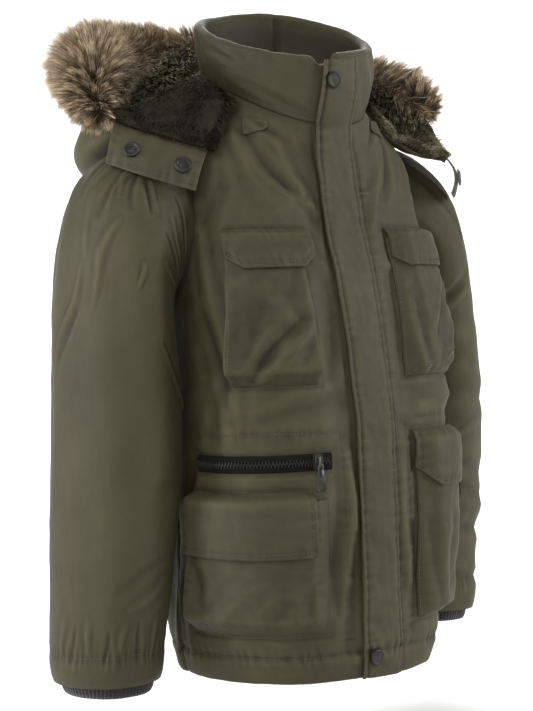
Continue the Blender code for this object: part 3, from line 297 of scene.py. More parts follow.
# Finer creases of the body than the solids have: side (0 is both), from (u, h) to (u, h),
# width, depth. A minus depth is a trough.
BODY_CREASES = (
    (-1, 92, -62, 40, -104, 5.0, -1.5),
    (-1, 84, -52, 52, -58, 4.0, -1.2),
    (-1, 60, -66, 30, -118, 5.0, 1.3),
    (-1, 104, -74, 70, -118, 7.0, 1.2),
    (-1, 26, -74, 30, -150, 6.0, 1.0),
    (-1, 150, -148, 132, -250, 7.0, 1.8),
    (-1, 160, -210, 140, -300, 6.0, -1.6),
    (-1, 138, -276, 150, -330, 9.0, 1.6),
    (-1, 40, -286, 110, -296, 7.0, -1.3),
    (-1, 34, -330, 40, -440, 8.0, 2.2),
    (-1, 44, -380, 47, -470, 6.0, -1.6),
    (-1, 30, -400, 34, -500, 5.0, -1.1),
    (-1, 30, -190, 42, -262, 7.0, -1.3),
    (-1, 200, -430, 206, -500, 8.0, 1.6),
    (-1, 192, -300, 214, -372, 8.0, -1.8),
    (-1, 120, -108, 150, -150, 8.0, -1.5),
    (1, 84, -50, 50, -58, 4.0, -1.2),
    (1, 90, -62, 44, -108, 5.0, -1.4),
    (1, 60, -70, 34, -130, 6.0, 1.2),
    (1, 40, -176, 52, -286, 7.0, -1.2),
    (1, 132, -150, 148, -226, 8.0, 1.8),
    (1, 128, -262, 160, -300, 8.0, -2.0),
    (1, 44, -276, 120, -300, 8.0, -1.5),
    (1, 60, -292, 140, -286, 8.0, 1.5),
    (1, 36, -330, 40, -450, 7.0, 1.8),
    (1, 45, -400, 44, -490, 6.0, -1.4),
    (1, 196, -360, 204, -470, 8.0, -1.7),
    (0, 240, -150, 262, -232, 9.0, -1.9),
    (0, 300, -120, 292, -196, 11.0, -1.5),
    (0, 330, -140, 344, -260, 9.0, 1.4),
    (0, 276, -236, 352, -262, 9.0, -1.8),
    (0, 258, -300, 330, -286, 8.0, 1.6),
    (-1, 240, -320, 312, -352, 8.0, -1.7),
    (1, 244, -338, 300, -318, 8.0, -1.7),
    (0, 290, -370, 300, -470, 9.0, -1.4),
    (-1, 346, -400, 356, -500, 8.0, 1.3),
    (1, 340, -330, 352, -420, 8.0, -1.3),
    (0, 232, -440, 236, -520, 8.0, 1.5),
)

# Finer creases of a sleeve: side, from (angle, place) to (angle, place), width in degrees,
# depth. Angle 0 is the outer side and 90 the front.
SLEEVE_CREASES = (
    (-1, 35, 0.12, 33, 0.23, 2.0, 1.7),
    (-1, 30, 0.12, 26, 0.25, 2.4, -1.5),
    (-1, 30, 0.14, 40, 0.20, 1.9, 1.2),
    (-1, 49, 0.11, 70, 0.145, 2.0, 1.9),
    (-1, 50, 0.125, 68, 0.165, 2.4, -1.9),
    (-1, 40, 0.12, 52, 0.20, 2.2, -1.2),
    (-1, 18, 0.10, 12, 0.20, 2.4, 1.2),
    (-1, 8, 0.10, 2, 0.22, 2.4, -1.2),
    (-1, 16, 0.22, 18, 0.32, 2.6, 1.0),
    (-1, 14, 0.34, 6, 0.41, 2.2, 1.4),
    (-1, 7, 0.405, -12, 0.475, 2.0, 1.9),
    (-1, 11, 0.41, -8, 0.48, 2.2, -1.2),
    (-1, 32, 0.31, 28, 0.39, 2.4, 1.0),
    (-1, 46, 0.24, 32, 0.33, 2.4, 1.1),
    (-1, 74, 0.285, 69, 0.33, 1.6, 1.6),
    (-1, 97, 0.41, 146, 0.49, 3.0, -1.8),
    (-1, 99, 0.43, 148, 0.52, 3.0, 1.2),
    (-1, 74, 0.055, 122, 0.036, 3.0, -1.5),
    (-1, 84, 0.10, 120, 0.09, 2.6, 1.4),
    (-1, 90, 0.15, 128, 0.13, 3.0, -1.5),
    (-1, 104, 0.21, 136, 0.19, 3.0, 1.2),
    (-1, 107, 0.79, 60, 0.835, 3.4, -0.9),
    (-1, 110, 0.83, 70, 0.87, 3.0, 0.9),
    (-1, -1, 0.955, 4, 0.89, 2.4, 1.2),
    (-1, 16, 0.955, 18, 0.90, 2.2, -1.1),
    (-1, 35, 0.955, 31, 0.895, 2.2, 1.1),
    (-1, 50, 0.955, 52, 0.91, 2.2, -1.1),
    (-1, 65, 0.955, 67, 0.905, 2.2, 1.1),
    (-1, 84, 0.955, 82, 0.90, 2.2, -1.1),
    (-1, 100, 0.955, 104, 0.90, 2.2, 1.1),
    (1, 74, 0.323, 112, 0.318, 3.6, -2.2),
    (1, 70, 0.345, 108, 0.35, 3.2, 1.6),
    (1, 60, 0.60, 104, 0.638, 3.2, 1.3),
    (1, 20, 0.03, 32, 0.20, 5, -2.2),
    (1, 52, 0.02, 66, 0.24, 5, -2.2),
    (1, 96, 0.04, 112, 0.24, 5, -2.0),
    (1, 150, 0.22, 110, 0.42, 7, -2.4),
    (1, 150, 0.34, 60, 0.46, 7, 1.8),
    (1, 140, 0.52, 40, 0.58, 7, -2.2),
    (1, 130, 0.66, 40, 0.72, 6, -2.2),
    (1, 124, 0.76, 20, 0.79, 6, 2.0),
    (1, 130, 0.84, 10, 0.85, 5, -2.4),
    (1, 120, 0.92, 20, 0.93, 4, -1.8),
    (0, 210, 0.10, 232, 0.34, 7, -2.2),
    (0, 262, 0.05, 256, 0.30, 6, -2.0),
    (0, 300, 0.04, 310, 0.26, 6, -2.0),
    (0, 206, 0.36, 290, 0.46, 8, -2.2),
    (0, 214, 0.50, 300, 0.58, 8, 1.9),
    (0, 320, 0.44, 330, 0.70, 8, -1.6),
    (0, 230, 0.72, 300, 0.80, 8, -1.8),
    (0, 270, 0.84, 276, 0.96, 6, 1.4),
    (0, 338, 0.10, 344, 0.36, 6, 1.6),
)

# Creases of the collar: from (turn, rise) to (turn, rise), width, depth. Turn is in degrees
# from the centre front, minus on the wearer's right; rise is 0 at the seam and 100 at the rim.
COLLAR_CREASES = (
    (-78, 96, -52, 60, 5, 1.6),
    (-64, 104, -60, 88, 4, -2.2),
    (-44, 104, -40, 90, 4, -1.8),
    (-90, 80, -56, 74, 5, -1.4),
    (-58, 34, -20, 8, 6, -1.8),
    (-40, 42, -16, 22, 5, 1.4),
    (-80, 20, -44, 6, 5, -1.3),
    (-26, 104, -24, 84, 4, -1.6),
    (-110, 104, -104, 60, 6, -2.0),
    (26, 60, 30, 20, 5, -1.3),
    (40, 104, 46, 50, 6, -1.8),
    (64, 96, 60, 30, 6, 1.6),
    (84, 104, 92, 60, 6, -1.8),
    (120, 104, 112, 40, 7, -1.8),
    (150, 104, 156, 50, 7, 1.6),
    (-150, 104, -144, 50, 7, -1.6),
    (-126, 60, -132, 10, 7, 1.5),
)

# Creases of the pockets' bags: from (u, h) to (u, h), width, depth.
POCKET_CREASES = {
    "chest_bag_right": ((72, -212, 116, -264, 5.0, -2.9), (66, -220, 108, -266, 5, 1.4),
                        (92, -186, 118, -250, 13, -1.8), (62, -172, 66, -216, 6, 1.0),
                        (104, -180, 84, -214, 7, 1.0), (64, -236, 98, -252, 6, -0.8)),
    "chest_bag_left": ((60, -176, 74, -262, 7, -1.6), (112, -180, 84, -236, 5, -2.4),
                       (120, -214, 92, -262, 6, 2.2), (100, -250, 128, -264, 5, -2.0)),
    "lower_bag_right": ((72, -430, 78, -480, 7, -1.6), (180, -420, 168, -476, 8, -1.8),
                        (120, -440, 150, -474, 9, 1.4), (96, -456, 110, -480, 7, -1.2)),
    "lower_bag_left": ((64, -380, 72, -470, 7, -1.5), (150, -372, 112, -440, 9, -2.0),
                       (158, -410, 130, -476, 9, 2.4), (96, -400, 86, -470, 8, -1.4),
                       (176, -430, 168, -478, 7, -1.8)),
}

# Topstitching on the body: side and the line's (u, h) places.
BODY_STITCHES = (
    (1, ((27.5, -500), (27, -300), (27.5, -150), (27, -60))),
    (-1, ((190, -311), (110, -309), (37, -311), (35.5, -340), (37, -420), (38, -497))),
    (1, ((190, -303), (110, -301), (42, -303), (41, -340), (43, -420), (43, -497))),
)
# Grooves of the panel right beside what is sewn on it: side and the line's (u, h) places.
POCKET_GROOVES = (
    (-1, ((46, -160), (45.6, -130.2), (123, -130.2))),
    (-1, ((54, -170), (52, -270), (140, -270), (124, -172))),
    (1, ((46, -160), (45.6, -130.2), (123, -130.2))),
    (1, ((44, -170), (42, -268), (132, -268), (120, -172))),
    (-1, ((71, -404), (71, -358), (194, -358))),
    (-1, ((54, -380), (53, -489), (198, -489))),
    (1, ((46, -350), (46, -312), (186, -312))),
    (1, ((48, -340), (47, -487), (194, -487))),
    (-1, ((48, -326), (190, -326))),
    (-1, ((48, -344), (190, -344))),
)
PLACKET_GROOVE = {-1: 23.5, 1: 24.0}    # u of the groove beside the placket
PLACKET_GROOVE_TOP = -40.0  # it ends at this height
HEM_STITCH_LEVEL = 0.047    # the hem's casing is sewn here
HEM_STITCH_START = {-1: 0.16, 1: 0.17}  # part of the way round where it starts
ARMHOLE_STITCHES = (3.0, 9.0)           # two lines round the armhole
PAINTED_SHADE_GAIN = 0.9           # how strongly painted shade in hollows and painted highlight on ridges show in the colour
BAG_LEAN = 22.0             # a left bag's face rises over this much of its inner side
COLLAR_END_DROP = 8.0       # how far the collar's right end curves down beside the placket
BODY_STITCH_LIFT = 0.7      # how far the body's stitches stand off its panels
SLEEVE_FOLD_SHARE = 0.6     # the solids' large sleeve folds, softened
CREASE_DEPTH = 1.9          # scale of every crease's depth
CREASE_BOW = 0.06           # bow of a crease, as a share of its length
CREASE_LIP = 0.30           # height of the soft lips beside a crease
STITCH_TROUGH = 0.70        # depth of the cloth along a line of sewing
STITCH_WIDTH = 3.0
PUCKER = 0.60               # height of the small waves beside a line of sewing
PUCKER_LENGTH = 9.5
PUCKER_REACH = 8.0
STITCH_SIZE = (2.5, 0.75, 0.50)     # a stitch's length, width and height
STITCH_PITCH = 3.3

# The cut of what shows: width and length in metres, and the cut's share of that rectangle.
CUTS = {
    "front_right": (0.25, 0.56, 0.80), "front_left": (0.24, 0.56, 0.80),
    "back": (0.40, 0.56, 0.78),
    "sleeve_right": (0.40, 0.54, 0.80), "sleeve_left": (0.41, 0.54, 0.80),
    "placket": (0.05, 0.57, 0.95),
    "chest_bag_right": (0.12, 0.15, 0.9), "chest_bag_left": (0.11, 0.15, 0.9),
    "lower_bag_right": (0.18, 0.15, 0.9), "lower_bag_left": (0.18, 0.19, 0.9),
    "chest_flap_right": (0.080, 0.047, 0.96), "chest_flap_left": (0.078, 0.047, 0.96),
    "lower_flap_right": (0.130, 0.070, 0.98), "lower_flap_left": (0.130, 0.064, 0.98),
    "hood_shell": (0.46, 0.26, 0.8), "hood_lining": (0.46, 0.26, 0.8),
    "hood_tab_right": (0.084, 0.046, 0.97), "hood_tab_left": (0.070, 0.037, 0.95),
    "leaf_tab_right": (0.028, 0.015, 0.8), "leaf_tab_left": (0.028, 0.015, 0.8),
    "cuff_right": (0.25, 0.050, 1.0), "cuff_left": (0.25, 0.050, 1.0),
}

# Floor and wall in metres: front, back, top, half width and the bend between them.
STAGE_SIZE = (-6.0, 2.4, 6.0, 8.0, 1.2)
# Lights: name, place, size in metres, watts.
LIGHTS = (
    ("key", (-2.0, -0.8, 1.0), (0.9, 1.2), 27.0),
    ("front", (-1.3, -1.9, 0.5), (1.6, 1.6), 16.0),
    ("side", (1.8, -1.6, 0.5), (0.9, 1.4), 52.0),
    ("top", (-0.1, -0.6, 2.3), (1.2, 1.2), 18.0),
    ("rim", (-2.0, 1.1, 0.2), (0.6, 1.6), 48.0),
    ("back", (0.9, 1.6, 1.2), (1.6, 1.2), 40.0),
)
LIGHT_AIM = (0, 0, -0.26)
SKY_STRENGTH = 0.42
CAMERA_TURN = 36.0          # degrees from the front toward the wearer's right
CAMERA_RISE = 1.75          # degrees above the level
CAMERA_ROLL = 2.0           # degrees
CAMERA_DISTANCE = 1800.0
CAMERA_FOCUS = 1926.0       # focal length in pixels of a frame 533 wide and 711 high
FRAME_HIGH = 711.0
SENSOR_WIDTH = 36.0
CAMERA_AIM = (-25.7, -245.0)    # mm to the right of the origin, and up


# Reading tables and grids ------------------------------------------------------------

def smooth_rows(rows, where):
    """Each column as a smooth curve through its rows, read at the given places."""
    table = np.array(rows, float)
    knots, values = table[:, 0], table[:, 1:]
    where = np.clip(np.asarray(where, float), knots[0], knots[-1])
    slopes = np.diff(values, axis=0) / np.diff(knots)[:, None]
    inner = np.where(slopes[:-1] * slopes[1:] > 0, 0.5 * (slopes[:-1] + slopes[1:]), 0.0)
    tangents = np.vstack((slopes[:1], inner, slopes[-1:]))
    index = np.clip(np.searchsorted(knots, where, "right") - 1, 0, len(knots) - 2)
    span = (knots[index + 1] - knots[index])[..., None]
    s = (where - knots[index])[..., None] / span
    start, end = values[index], values[index + 1]
    return (start * (1 + 2 * s) * (1 - s) ** 2 + end * s * s * (3 - 2 * s)
            + span * tangents[index] * s * (1 - s) ** 2
            + span * tangents[index + 1] * s * s * (s - 1))


def unit(vectors):
    return vectors / np.maximum(np.linalg.norm(vectors, axis=-1, keepdims=True), 1e-9)


def bell(distance, width):
    """1 at a distance of 0, fading to nothing at about twice the width."""
    return np.exp(-(distance / width) ** 2)


def run_of(points):
    """Distance along a line of points, from its start."""
    return np.insert(np.cumsum(np.linalg.norm(np.diff(points, axis=0), axis=-1)), 0, 0.0)


def read_line(at, knots, values):
    """Rows of values, read along straight lines between knots."""
    return np.stack([np.interp(at, knots, column) for column in np.asarray(values).T], axis=-1)


def divided(grid, by):
    """A grid of numbers with each span of its rows and columns divided by so many."""
    for count in by:
        size = len(grid)
        grid = read_line(np.linspace(0, size - 1, (size - 1) * count + 1), np.arange(size), grid).T
    return grid


def resample(grid, counts):
    """The grid read along smooth curves at new counts of rows and columns."""
    for axis, count in enumerate(counts):
        grid = np.moveaxis(grid, axis, 0)
        last = len(grid) - 1
        at = np.linspace(0, last, count)
        i = np.clip(at.astype(int), 0, last - 1)
        s = (at - i).reshape((-1,) + (1,) * (grid.ndim - 1))
        before, start, end, after = (grid[np.clip(i + k, 0, last)] for k in (-1, 0, 1, 2))
        grid = (start + 0.5 * s * (end - before + s * (2 * before - 5 * start + 4 * end - after
                                                       + s * (3 * (start - end) + after - before))))
        grid = np.moveaxis(grid, 0, axis)
    return grid


def ease(grid, rounds=1):
    """Rounds the grid's inner points off; its border stays."""
    for _ in range(rounds):
        eased = grid.copy()
        eased[1:-1, 1:-1] = (0.5 * grid[1:-1, 1:-1]
                             + 0.125 * (grid[:-2, 1:-1] + grid[2:, 1:-1]
                                        + grid[1:-1, :-2] + grid[1:-1, 2:]))
        grid = eased
    return grid


def grid_normals(grid, closed=False, toward=None):
    """Unit normals of a grid, turned to the side of the vector or points `toward`."""
    if closed:
        wide = np.pad(grid, ((0, 0), (1, 1), (0, 0)), "wrap")
        across = wide[:, 2:] - wide[:, :-2]
    else:
        across = np.gradient(grid, axis=1)
    normal = unit(np.cross(across, np.gradient(grid, axis=0)))
    if toward is not None and np.mean(np.sum(normal * toward, axis=-1)) < 0:
        normal = -normal
    return normal


def way_along(grid, axis):
    """Distance in mm along the rows or columns of a grid, from each end."""
    step = np.linalg.norm(np.diff(grid, axis=axis), axis=-1)
    start = np.cumsum(np.insert(step, 0, 0.0, axis=axis), axis=axis)
    return start, np.take(start, [-1], axis=axis) - start


def from_edge(grid, edge):
    """Distance of a grid's points from its edge l, r, t or b, and their way along that edge."""
    axis = 1 if edge in "lr" else 0
    return way_along(grid, axis)[edge in "rb"], way_along(grid, 1 - axis)[0]


# Relief of the cloth --------------------------------------------------------------------

def waves(points, length, seed):
    """Soft uneven field of about -1 to 1 at points in mm; length is its usual wave."""
    draw = np.random.default_rng(seed)
    total = np.zeros(points.shape[:-1])
    for octave in (1.0, 0.55):
        for _ in range(5):
            pull = unit(draw.normal(size=3)) * 2 * math.pi / (length * octave)
            warp = unit(draw.normal(size=3)) * 2 * math.pi / (length * octave * 1.8)
            bend = 1.2 * np.sin(points @ warp + draw.uniform(0, 6.3))
            total = total + octave * np.sin(points @ (pull * draw.uniform(0.7, 1.3))
                                            + draw.uniform(0, 6.3) + bend)
    return total / 3.4


def scaled(rows, across, along):
    """Rows of folds with their first places and widths, and their second places, scaled."""
    return [(side, across * a0, along * p0, across * a1, along * p1, across * width, depth)
            for side, a0, p0, a1, p1, width, depth in rows]


def from_segment(u, h, start, end):
    """Distance of (u, h) from a segment, and the nearest point's way along it."""
    (u0, h0), run_u, run_h = start, end[0] - start[0], end[1] - start[1]
    length = math.hypot(run_u, run_h)
    t = np.clip(((u - u0) * run_u + (h - h0) * run_h) / length ** 2, 0, 1)
    return np.hypot(u - u0 - t * run_u, h - h0 - t * run_h), t * length


def ridge(u, h, rows, side):
    """Sum of the folds at (u, h): each is a soft trough or ridge along a short line."""
    total = np.zeros(np.broadcast(u, h).shape)
    for fold_side, u0, h0, u1, h1, width, depth in rows:
        if fold_side in (0, side):
            total += depth * bell(from_segment(u, h, (u0, h0), (u1, h1))[0], width)
    return total


def line_distance(u, h, line):
    """Distance of (u, h) from a line of places, and how far along the line that is."""
    best = np.full(np.broadcast(u, h).shape, 1e9)
    along, before = np.zeros(best.shape), 0.0
    for start, end in zip(line[:-1], line[1:]):
        off, way = from_segment(u, h, start, end)
        along = np.where(off < best, before + way, along)
        best = np.minimum(best, off)
        before += math.dist(start, end)
    return best, along


def creases(u, h, rows, side):
    """Sum of the creases at (u, h). Each bows a little, fades out toward its ends and has
    soft lips beside it, as cloth is pushed up next to a fold."""
    total = np.zeros(np.broadcast(u, h).shape)
    for number, (crease_side, u0, h0, u1, h1, width, depth) in enumerate(rows):
        if crease_side not in (0, side):
            continue
        run_u, run_h = u1 - u0, h1 - h0
        length = math.hypot(run_u, run_h)
        raw = ((u - u0) * run_u + (h - h0) * run_h) / length ** 2
        along = np.clip(raw, 0.0, 1.0)
        bow = CREASE_BOW * length * math.sin(2.4 * number + side) * np.sin(math.pi * along)
        across = ((u - u0) * run_h - (h - h0) * run_u) / length - bow
        size = width * (0.75 + 0.6 * along if number % 2 else 1.3 - 0.55 * along)
        off = np.hypot(across, (raw - along) * length) / size
        fade = 0.35 + 0.65 * np.sin(math.pi * np.clip(along, 0.04, 0.96)) ** 0.6
        total += CREASE_DEPTH * depth * fade * (np.exp(-off ** 1.5)
                                                - CREASE_LIP * bell(off - 1.9, 0.8))
    return total


def sewing(distance, along, seed=0.0, strength=1.0):
    """Relief beside a line of sewing: a narrow trough with small uneven waves."""
    turn = 2 * math.pi * along / PUCKER_LENGTH
    wave = np.sin(turn + 1.3 * np.sin(0.31 * turn + seed) + seed)
    pucker = PUCKER * (0.6 + 0.4 * np.sin(0.17 * turn + seed)) * wave
    return strength * (pucker * bell(distance, PUCKER_REACH)
                       - STITCH_TROUGH * bell(distance, STITCH_WIDTH))


def edge_relief(outer, insets, edges="lrtb", strength=1.0, seed=0.0, roll=0.8):
    """Relief of a sewn piece: its edge rolls under, and each line of sewing draws it in."""
    lift = np.zeros(outer.shape[:2])
    for number, edge in enumerate("lrtb"):
        way, along = from_edge(outer, edge)
        lift -= roll * np.exp(-way / 1.6)
        if edge in edges:
            lift += sum(sewing(np.abs(way - inset), along, seed + number, strength)
                        for inset in insets)
    return lift


def body_relief(body, side, part, level, u, h, base):
    """Fine relief of the body: creases, soft unevenness and the sewn lines. u and h are the
    crease tables' places; stitches and grooves go by the real height."""
    points, real = base * (side, 1, 1), base[..., 2]
    lift = creases(u, h, BODY_CREASES, side)
    lift += 0.9 * waves(points, 70, 3) + 0.3 * waves(points, 24, 4)
    for number, (stitch_side, line) in enumerate(BODY_STITCHES):
        if stitch_side == side:
            lift += sewing(*line_distance(u, real, line), seed=number, strength=0.8)
    girth = body.girth(level)
    to_seam = (part - body.seam_part(level)) * girth
    lift += sewing(np.abs(to_seam), h, 2.0, 0.6) - 0.9 * bell(to_seam, 1.8)
    to_hem = h - np.interp(HEM_STITCH_LEVEL, body.level, body.front_z)
    lift += sewing(np.abs(to_hem), np.abs(part - 0.5) * girth, 1.0, 1.5)
    lift += 0.8 * np.clip(-to_hem / 5, 0, 1) - np.exp(-level / 0.004)
    for groove_side, line in POCKET_GROOVES:
        if groove_side == side:
            lift -= 1.2 * bell(line_distance(u, real, line)[0], 1.8)
    lift -= 1.1 * bell(u - PLACKET_GROOVE[side], 1.6) * (h < PLACKET_GROOVE_TOP)
    across, up = to_seam / ARMHOLE_HALF_WIDTH, (level - ARMHOLE_MIDDLE) / ARMHOLE_HALF
    off = np.abs(np.hypot(across, up) - 1) * ARMHOLE_HALF_WIDTH
    lift += sewing(off, np.arctan2(across, up) * ARMHOLE_HALF_WIDTH, 4.0, 0.9)
    lift -= 0.5 * bell(off, 2.0)
    return lift * np.clip((1 - level) / 0.05, 0, 1)


# Body surface ------------------------------------------------------------------------

class Body:
    """The body's outer surface, sampled closely once and then read by (part of way, level)."""

    LEVELS = 281
    ROUND = 401

    def __init__(self):
        self.level = np.linspace(0.0, 1.0, self.LEVELS)
        half_w, square, front_y, front_z, back_y, back_z, side_z, seam_y, press, left = (
            column[:, None] for column in smooth_rows(BODY_ROWS, self.level).T)
        turn = np.linspace(0.0, math.pi, 721)[None, :]
        sine, cosine = np.abs(np.sin(turn)), np.cos(turn)
        y = (0.5 * (front_y + back_y)
             - 0.5 * (back_y - front_y) * np.sign(cosine) * np.abs(cosine) ** (2 / square))
        x = half_w * sine ** (2 / square) * (1 - press * bell(y - PRESS_CENTRE_Y, PRESS_WIDTH))
        end_z = np.where(cosine > 0, front_z, back_z)
        z = side_z + (end_z - side_z) * np.abs(cosine) ** HEIGHT_POWER
        dense = np.stack((x, y, z), axis=-1)
        way = way_along(dense, 1)[0]
        self.length, self.front_z, self.left = way[:, -1], front_z[:, 0], left[:, 0]
        part = np.linspace(0.0, 1.0, self.ROUND)
        self.grid = np.array([read_line(part * to[-1], to, row) for to, row in zip(way, dense)])
        self.seam = np.array([np.interp(y, row[:, 1], part) for y, row
                              in zip(seam_y[:, 0], self.grid)])
        across = np.gradient(self.grid, axis=1)
        across[:, [0, -1]] *= (1, 0, 0)
        self.normal = unit(np.cross(across, np.gradient(self.grid, axis=0)))

    def read(self, field, part, level):
        """Bilinear reading of a sampled field."""
        i = np.clip(level, 0, 1) * (self.LEVELS - 1)
        j = np.clip(part, 0, 1) * (self.ROUND - 1)
        i0 = np.minimum(i.astype(int), self.LEVELS - 2)
        j0 = np.minimum(j.astype(int), self.ROUND - 2)
        a, b = (i - i0)[..., None], (j - j0)[..., None]
        return ((1 - a) * (1 - b) * field[i0, j0] + a * (1 - b) * field[i0 + 1, j0]
                + (1 - a) * b * field[i0, j0 + 1] + a * b * field[i0 + 1, j0 + 1])

    def point(self, side, part, level, out=0.0):
        """Points on the body, moved out along its normal, and the normals there."""
        part, level = np.broadcast_arrays(np.asarray(part, float), np.asarray(level, float))
        base = self.read(self.grid, part, level)
        u = part * self.girth(level)
        h = np.interp(level, self.level, self.front_z)
        lift = ridge(u, h, BODY_FOLDS, side) * np.clip((1 - level) / 0.06, 0, 1)
        lift = lift + body_relief(self, side, part, level, u, h, base) + out
        width = side * (np.interp(level, self.level, self.left) if side > 0 else 1 + 0 * level)
        stretch = np.stack((width, 1 + 0 * level, 1 + 0 * level), axis=-1)
        normal = unit(unit(self.read(self.normal, part, level)) / stretch)
        return base * stretch + normal * lift[..., None], normal

    def place(self, side, u, h, out=0.0):
        """Points given by the way round u and their own height."""
        u, h = np.broadcast_arrays(np.asarray(u, float), np.asarray(h, float))
        label = h
        for _ in range(6):
            level = np.interp(label, self.front_z, self.level)
            part = u / self.girth(level)
            label = label + 0.8 * (h - self.read(self.grid, part, level)[..., 2])
        return self.point(side, part, level, out)

    def girth(self, level):
        """Way round half the body, from the centre front to the centre back."""
        return np.interp(level, self.level, self.length)

    def seam_part(self, level):
        return np.interp(level, self.level, self.seam)

    def panel_edge(self, level, toward_back):
        """Edge of a front (-1) or of the back (+1), half a seam gap from seam or armhole."""
        inside = np.clip(1 - ((level - ARMHOLE_MIDDLE) / ARMHOLE_HALF) ** 2, 0, 1)
        width = ARMHOLE_HALF_WIDTH * np.sqrt(inside) + 0.5 * SEAM_GAP
        return self.seam_part(level) + toward_back * width / self.girth(level)

    def armhole(self, turn, off=0.0):
        """Part and level of points round the armhole, so far off its edge."""
        wide = 1 + off / ARMHOLE_HALF_WIDTH
        level = ARMHOLE_MIDDLE + ARMHOLE_HALF * wide * np.cos(turn)
        return self.seam_part(level) - (wide * ARMHOLE_HALF_WIDTH / self.girth(level)
                                        * np.sin(turn)), level


BODY = Body()


def frame_at(normal):
    """Unit vectors across and up a surface with the given normal."""
    up = unit(np.array((0.0, 0.0, 1.0)) - normal * normal[2])
    return np.cross(up, normal), up


# Sleeves, collar and pockets ---------------------------------------------------------

def sleeve_ring(side, place, angle, out=0.0):
    """Points of the sleeve at a place along it; angle 0 is the outer side, 90 the front."""
    in_x, in_z, out_x, out_z, centre_y, depth = np.moveaxis(smooth_rows(SLEEVE_ROWS, place), -1, 0)
    turn = np.radians(angle)
    out_x = out_x + SLEEVE_WIDER[side] * np.clip(place / 0.5, 0, 1)
    reach_x, reach_z = 0.5 * (out_x - in_x), 0.5 * (out_z - in_z)
    lift = out + SLEEVE_FOLD_SHARE * ridge(angle, place * 100, scaled(SLEEVE_FOLDS, 1, 100), side)
    grow = 1 + lift / np.hypot(reach_x, reach_z)
    x = 0.5 * (in_x + out_x) + reach_x * np.cos(turn) * grow
    y = centre_y - depth * np.sin(turn) * (1 + lift / depth)
    z = 0.5 * (in_z + out_z) + reach_z * np.cos(turn) * grow
    z = z + SLEEVE_LIFT[side] * np.clip((place - 0.55) / 0.45, 0, 1)
    return np.stack((side * x, y, z), axis=-1)


def armhole_ring(side, count):
    """The sleeve's first ring, one seam gap inside the armhole, outside and inside."""
    top, normal = BODY.point(side, *BODY.armhole(np.arange(count) * 2 * math.pi / count))
    toward = top.mean(axis=0) - top
    toward = unit(toward - normal * np.sum(toward * normal, axis=-1, keepdims=True))
    outer = top + toward * 2 * SEAM_GAP
    return outer, outer - CLOTH * normal


def neck_ring(count):
    """Neck edge from the centre front round the wearer's right, the back and the left."""
    start = COLLAR_HALF_OPENING / BODY.length[-1]
    way = np.linspace(start, 2 - start, count)
    return np.concatenate((BODY.point(-1, way[way <= 1], 1.0)[0],
                           BODY.point(1, 2 - way[way > 1], 1.0)[0]))


def collar_surface(base, rise, out=0.0):
    """Outer face of the collar above neck points, rise from 0 at the seam to 1 at the rim."""
    turn = np.arctan2(base[..., 0], -base[..., 1])
    top_x, top_y = COLLAR_TOP_RADIUS[0] * np.sin(turn), -COLLAR_TOP_RADIUS[1] * np.cos(turn)
    wave = 1.4 * np.sin(3 * turn + 0.9) + 0.7 * np.sin(5 * turn)
    top_z = COLLAR_TOP_Z + COLLAR_TOP_SLOPE * top_y + COLLAR_TOP_SKEW * top_x + wave
    rise, out = np.asarray(rise)[..., None], np.asarray(out)[..., None]
    lifted = base + np.array((0, 0, SEAM_GAP + 0.2))
    place = lifted * (1 - rise) + np.stack((top_x, top_y, top_z), axis=-1) * rise
    return place + unit(place * (1, 1, 0)) * (COLLAR_BULGE * np.sin(math.pi * rise) + out)


def strip_point(u, h, out):
    """Points over the centre front: on the body below the neck, on the collar above it."""
    u, h, out = np.broadcast_arrays(u, h, out)
    neck_h = BODY.front_z[-1]
    points = np.zeros(u.shape + (3,))
    for side in SIDES:
        mine = (u < 0) if side < 0 else (u >= 0)
        low, high = mine & (h <= neck_h), mine & (h > neck_h)
        points[low] = BODY.place(side, np.abs(u[low]), h[low], out[low])[0]
        base = BODY.point(side, np.abs(u[high]) / BODY.length[-1], 1.0)[0]
        rise = np.minimum((h[high] - neck_h) / PLACKET_TOP_RISE, 1.0)
        points[high] = collar_surface(base, rise, out[high] + SEAM_GAP)
    return points


def bag_edges(bag, down):
    """Inner and outer edge of a bag at a share of the way down it."""
    return bag["u"][0] + 0.0 * down, bag["u"][1] + bag["flare"] * down ** 0.6


def pocket_depth(bag, u, h):
    """How far a bag's face stands off: deeper below, with a soft diagonal hollow."""
    (h_top, h_floor), (depth_top, depth_bottom) = bag["h"], bag["depth"]
    down = np.clip((h_top - h) / (h_top - h_floor), 0, 1)
    inner, outer = bag_edges(bag, down)
    across = np.clip((u - inner) / (outer - inner), 0, 1)
    depth = depth_top + (depth_bottom - depth_top) * down ** 0.8
    hollow = bell((across - 0.75) + 0.6 * (down - 0.6), 0.16) * down
    lean = np.clip((u - inner) / BAG_LEAN, 0, 1) if bag["thin"] else 1.0
    lean = 0.2 + 0.8 * lean * lean * (3 - 2 * lean)
    return depth * (1 - BAG_SINK * hollow) * (1 - bag["thin"] * across ** 2) * lean


# Hood --------------------------------------------------------------------------------

def hood_fur(places):
    """Centres and radii of the fur at places along the hood's rim."""
    angle, r, z, size = np.moveaxis(smooth_rows(HOOD_ROWS, places)[..., [1, 10, 11, 12]], -1, 0)
    end = np.minimum(places - FUR_SPAN[0], FUR_SPAN[1] - places) / (FUR_SPAN[1] - FUR_SPAN[0])
    taper = 0.4 + 0.6 * np.sqrt(np.clip(end / 0.10, 0, 1))
    return around_neck(r, angle, z), size * taper


def around_neck(r, angle, z):
    """Points by their distance from the neck's axis and their angle from the back."""
    return np.stack((r * np.sin(np.radians(angle)), r * np.cos(np.radians(angle)), z), axis=-1)


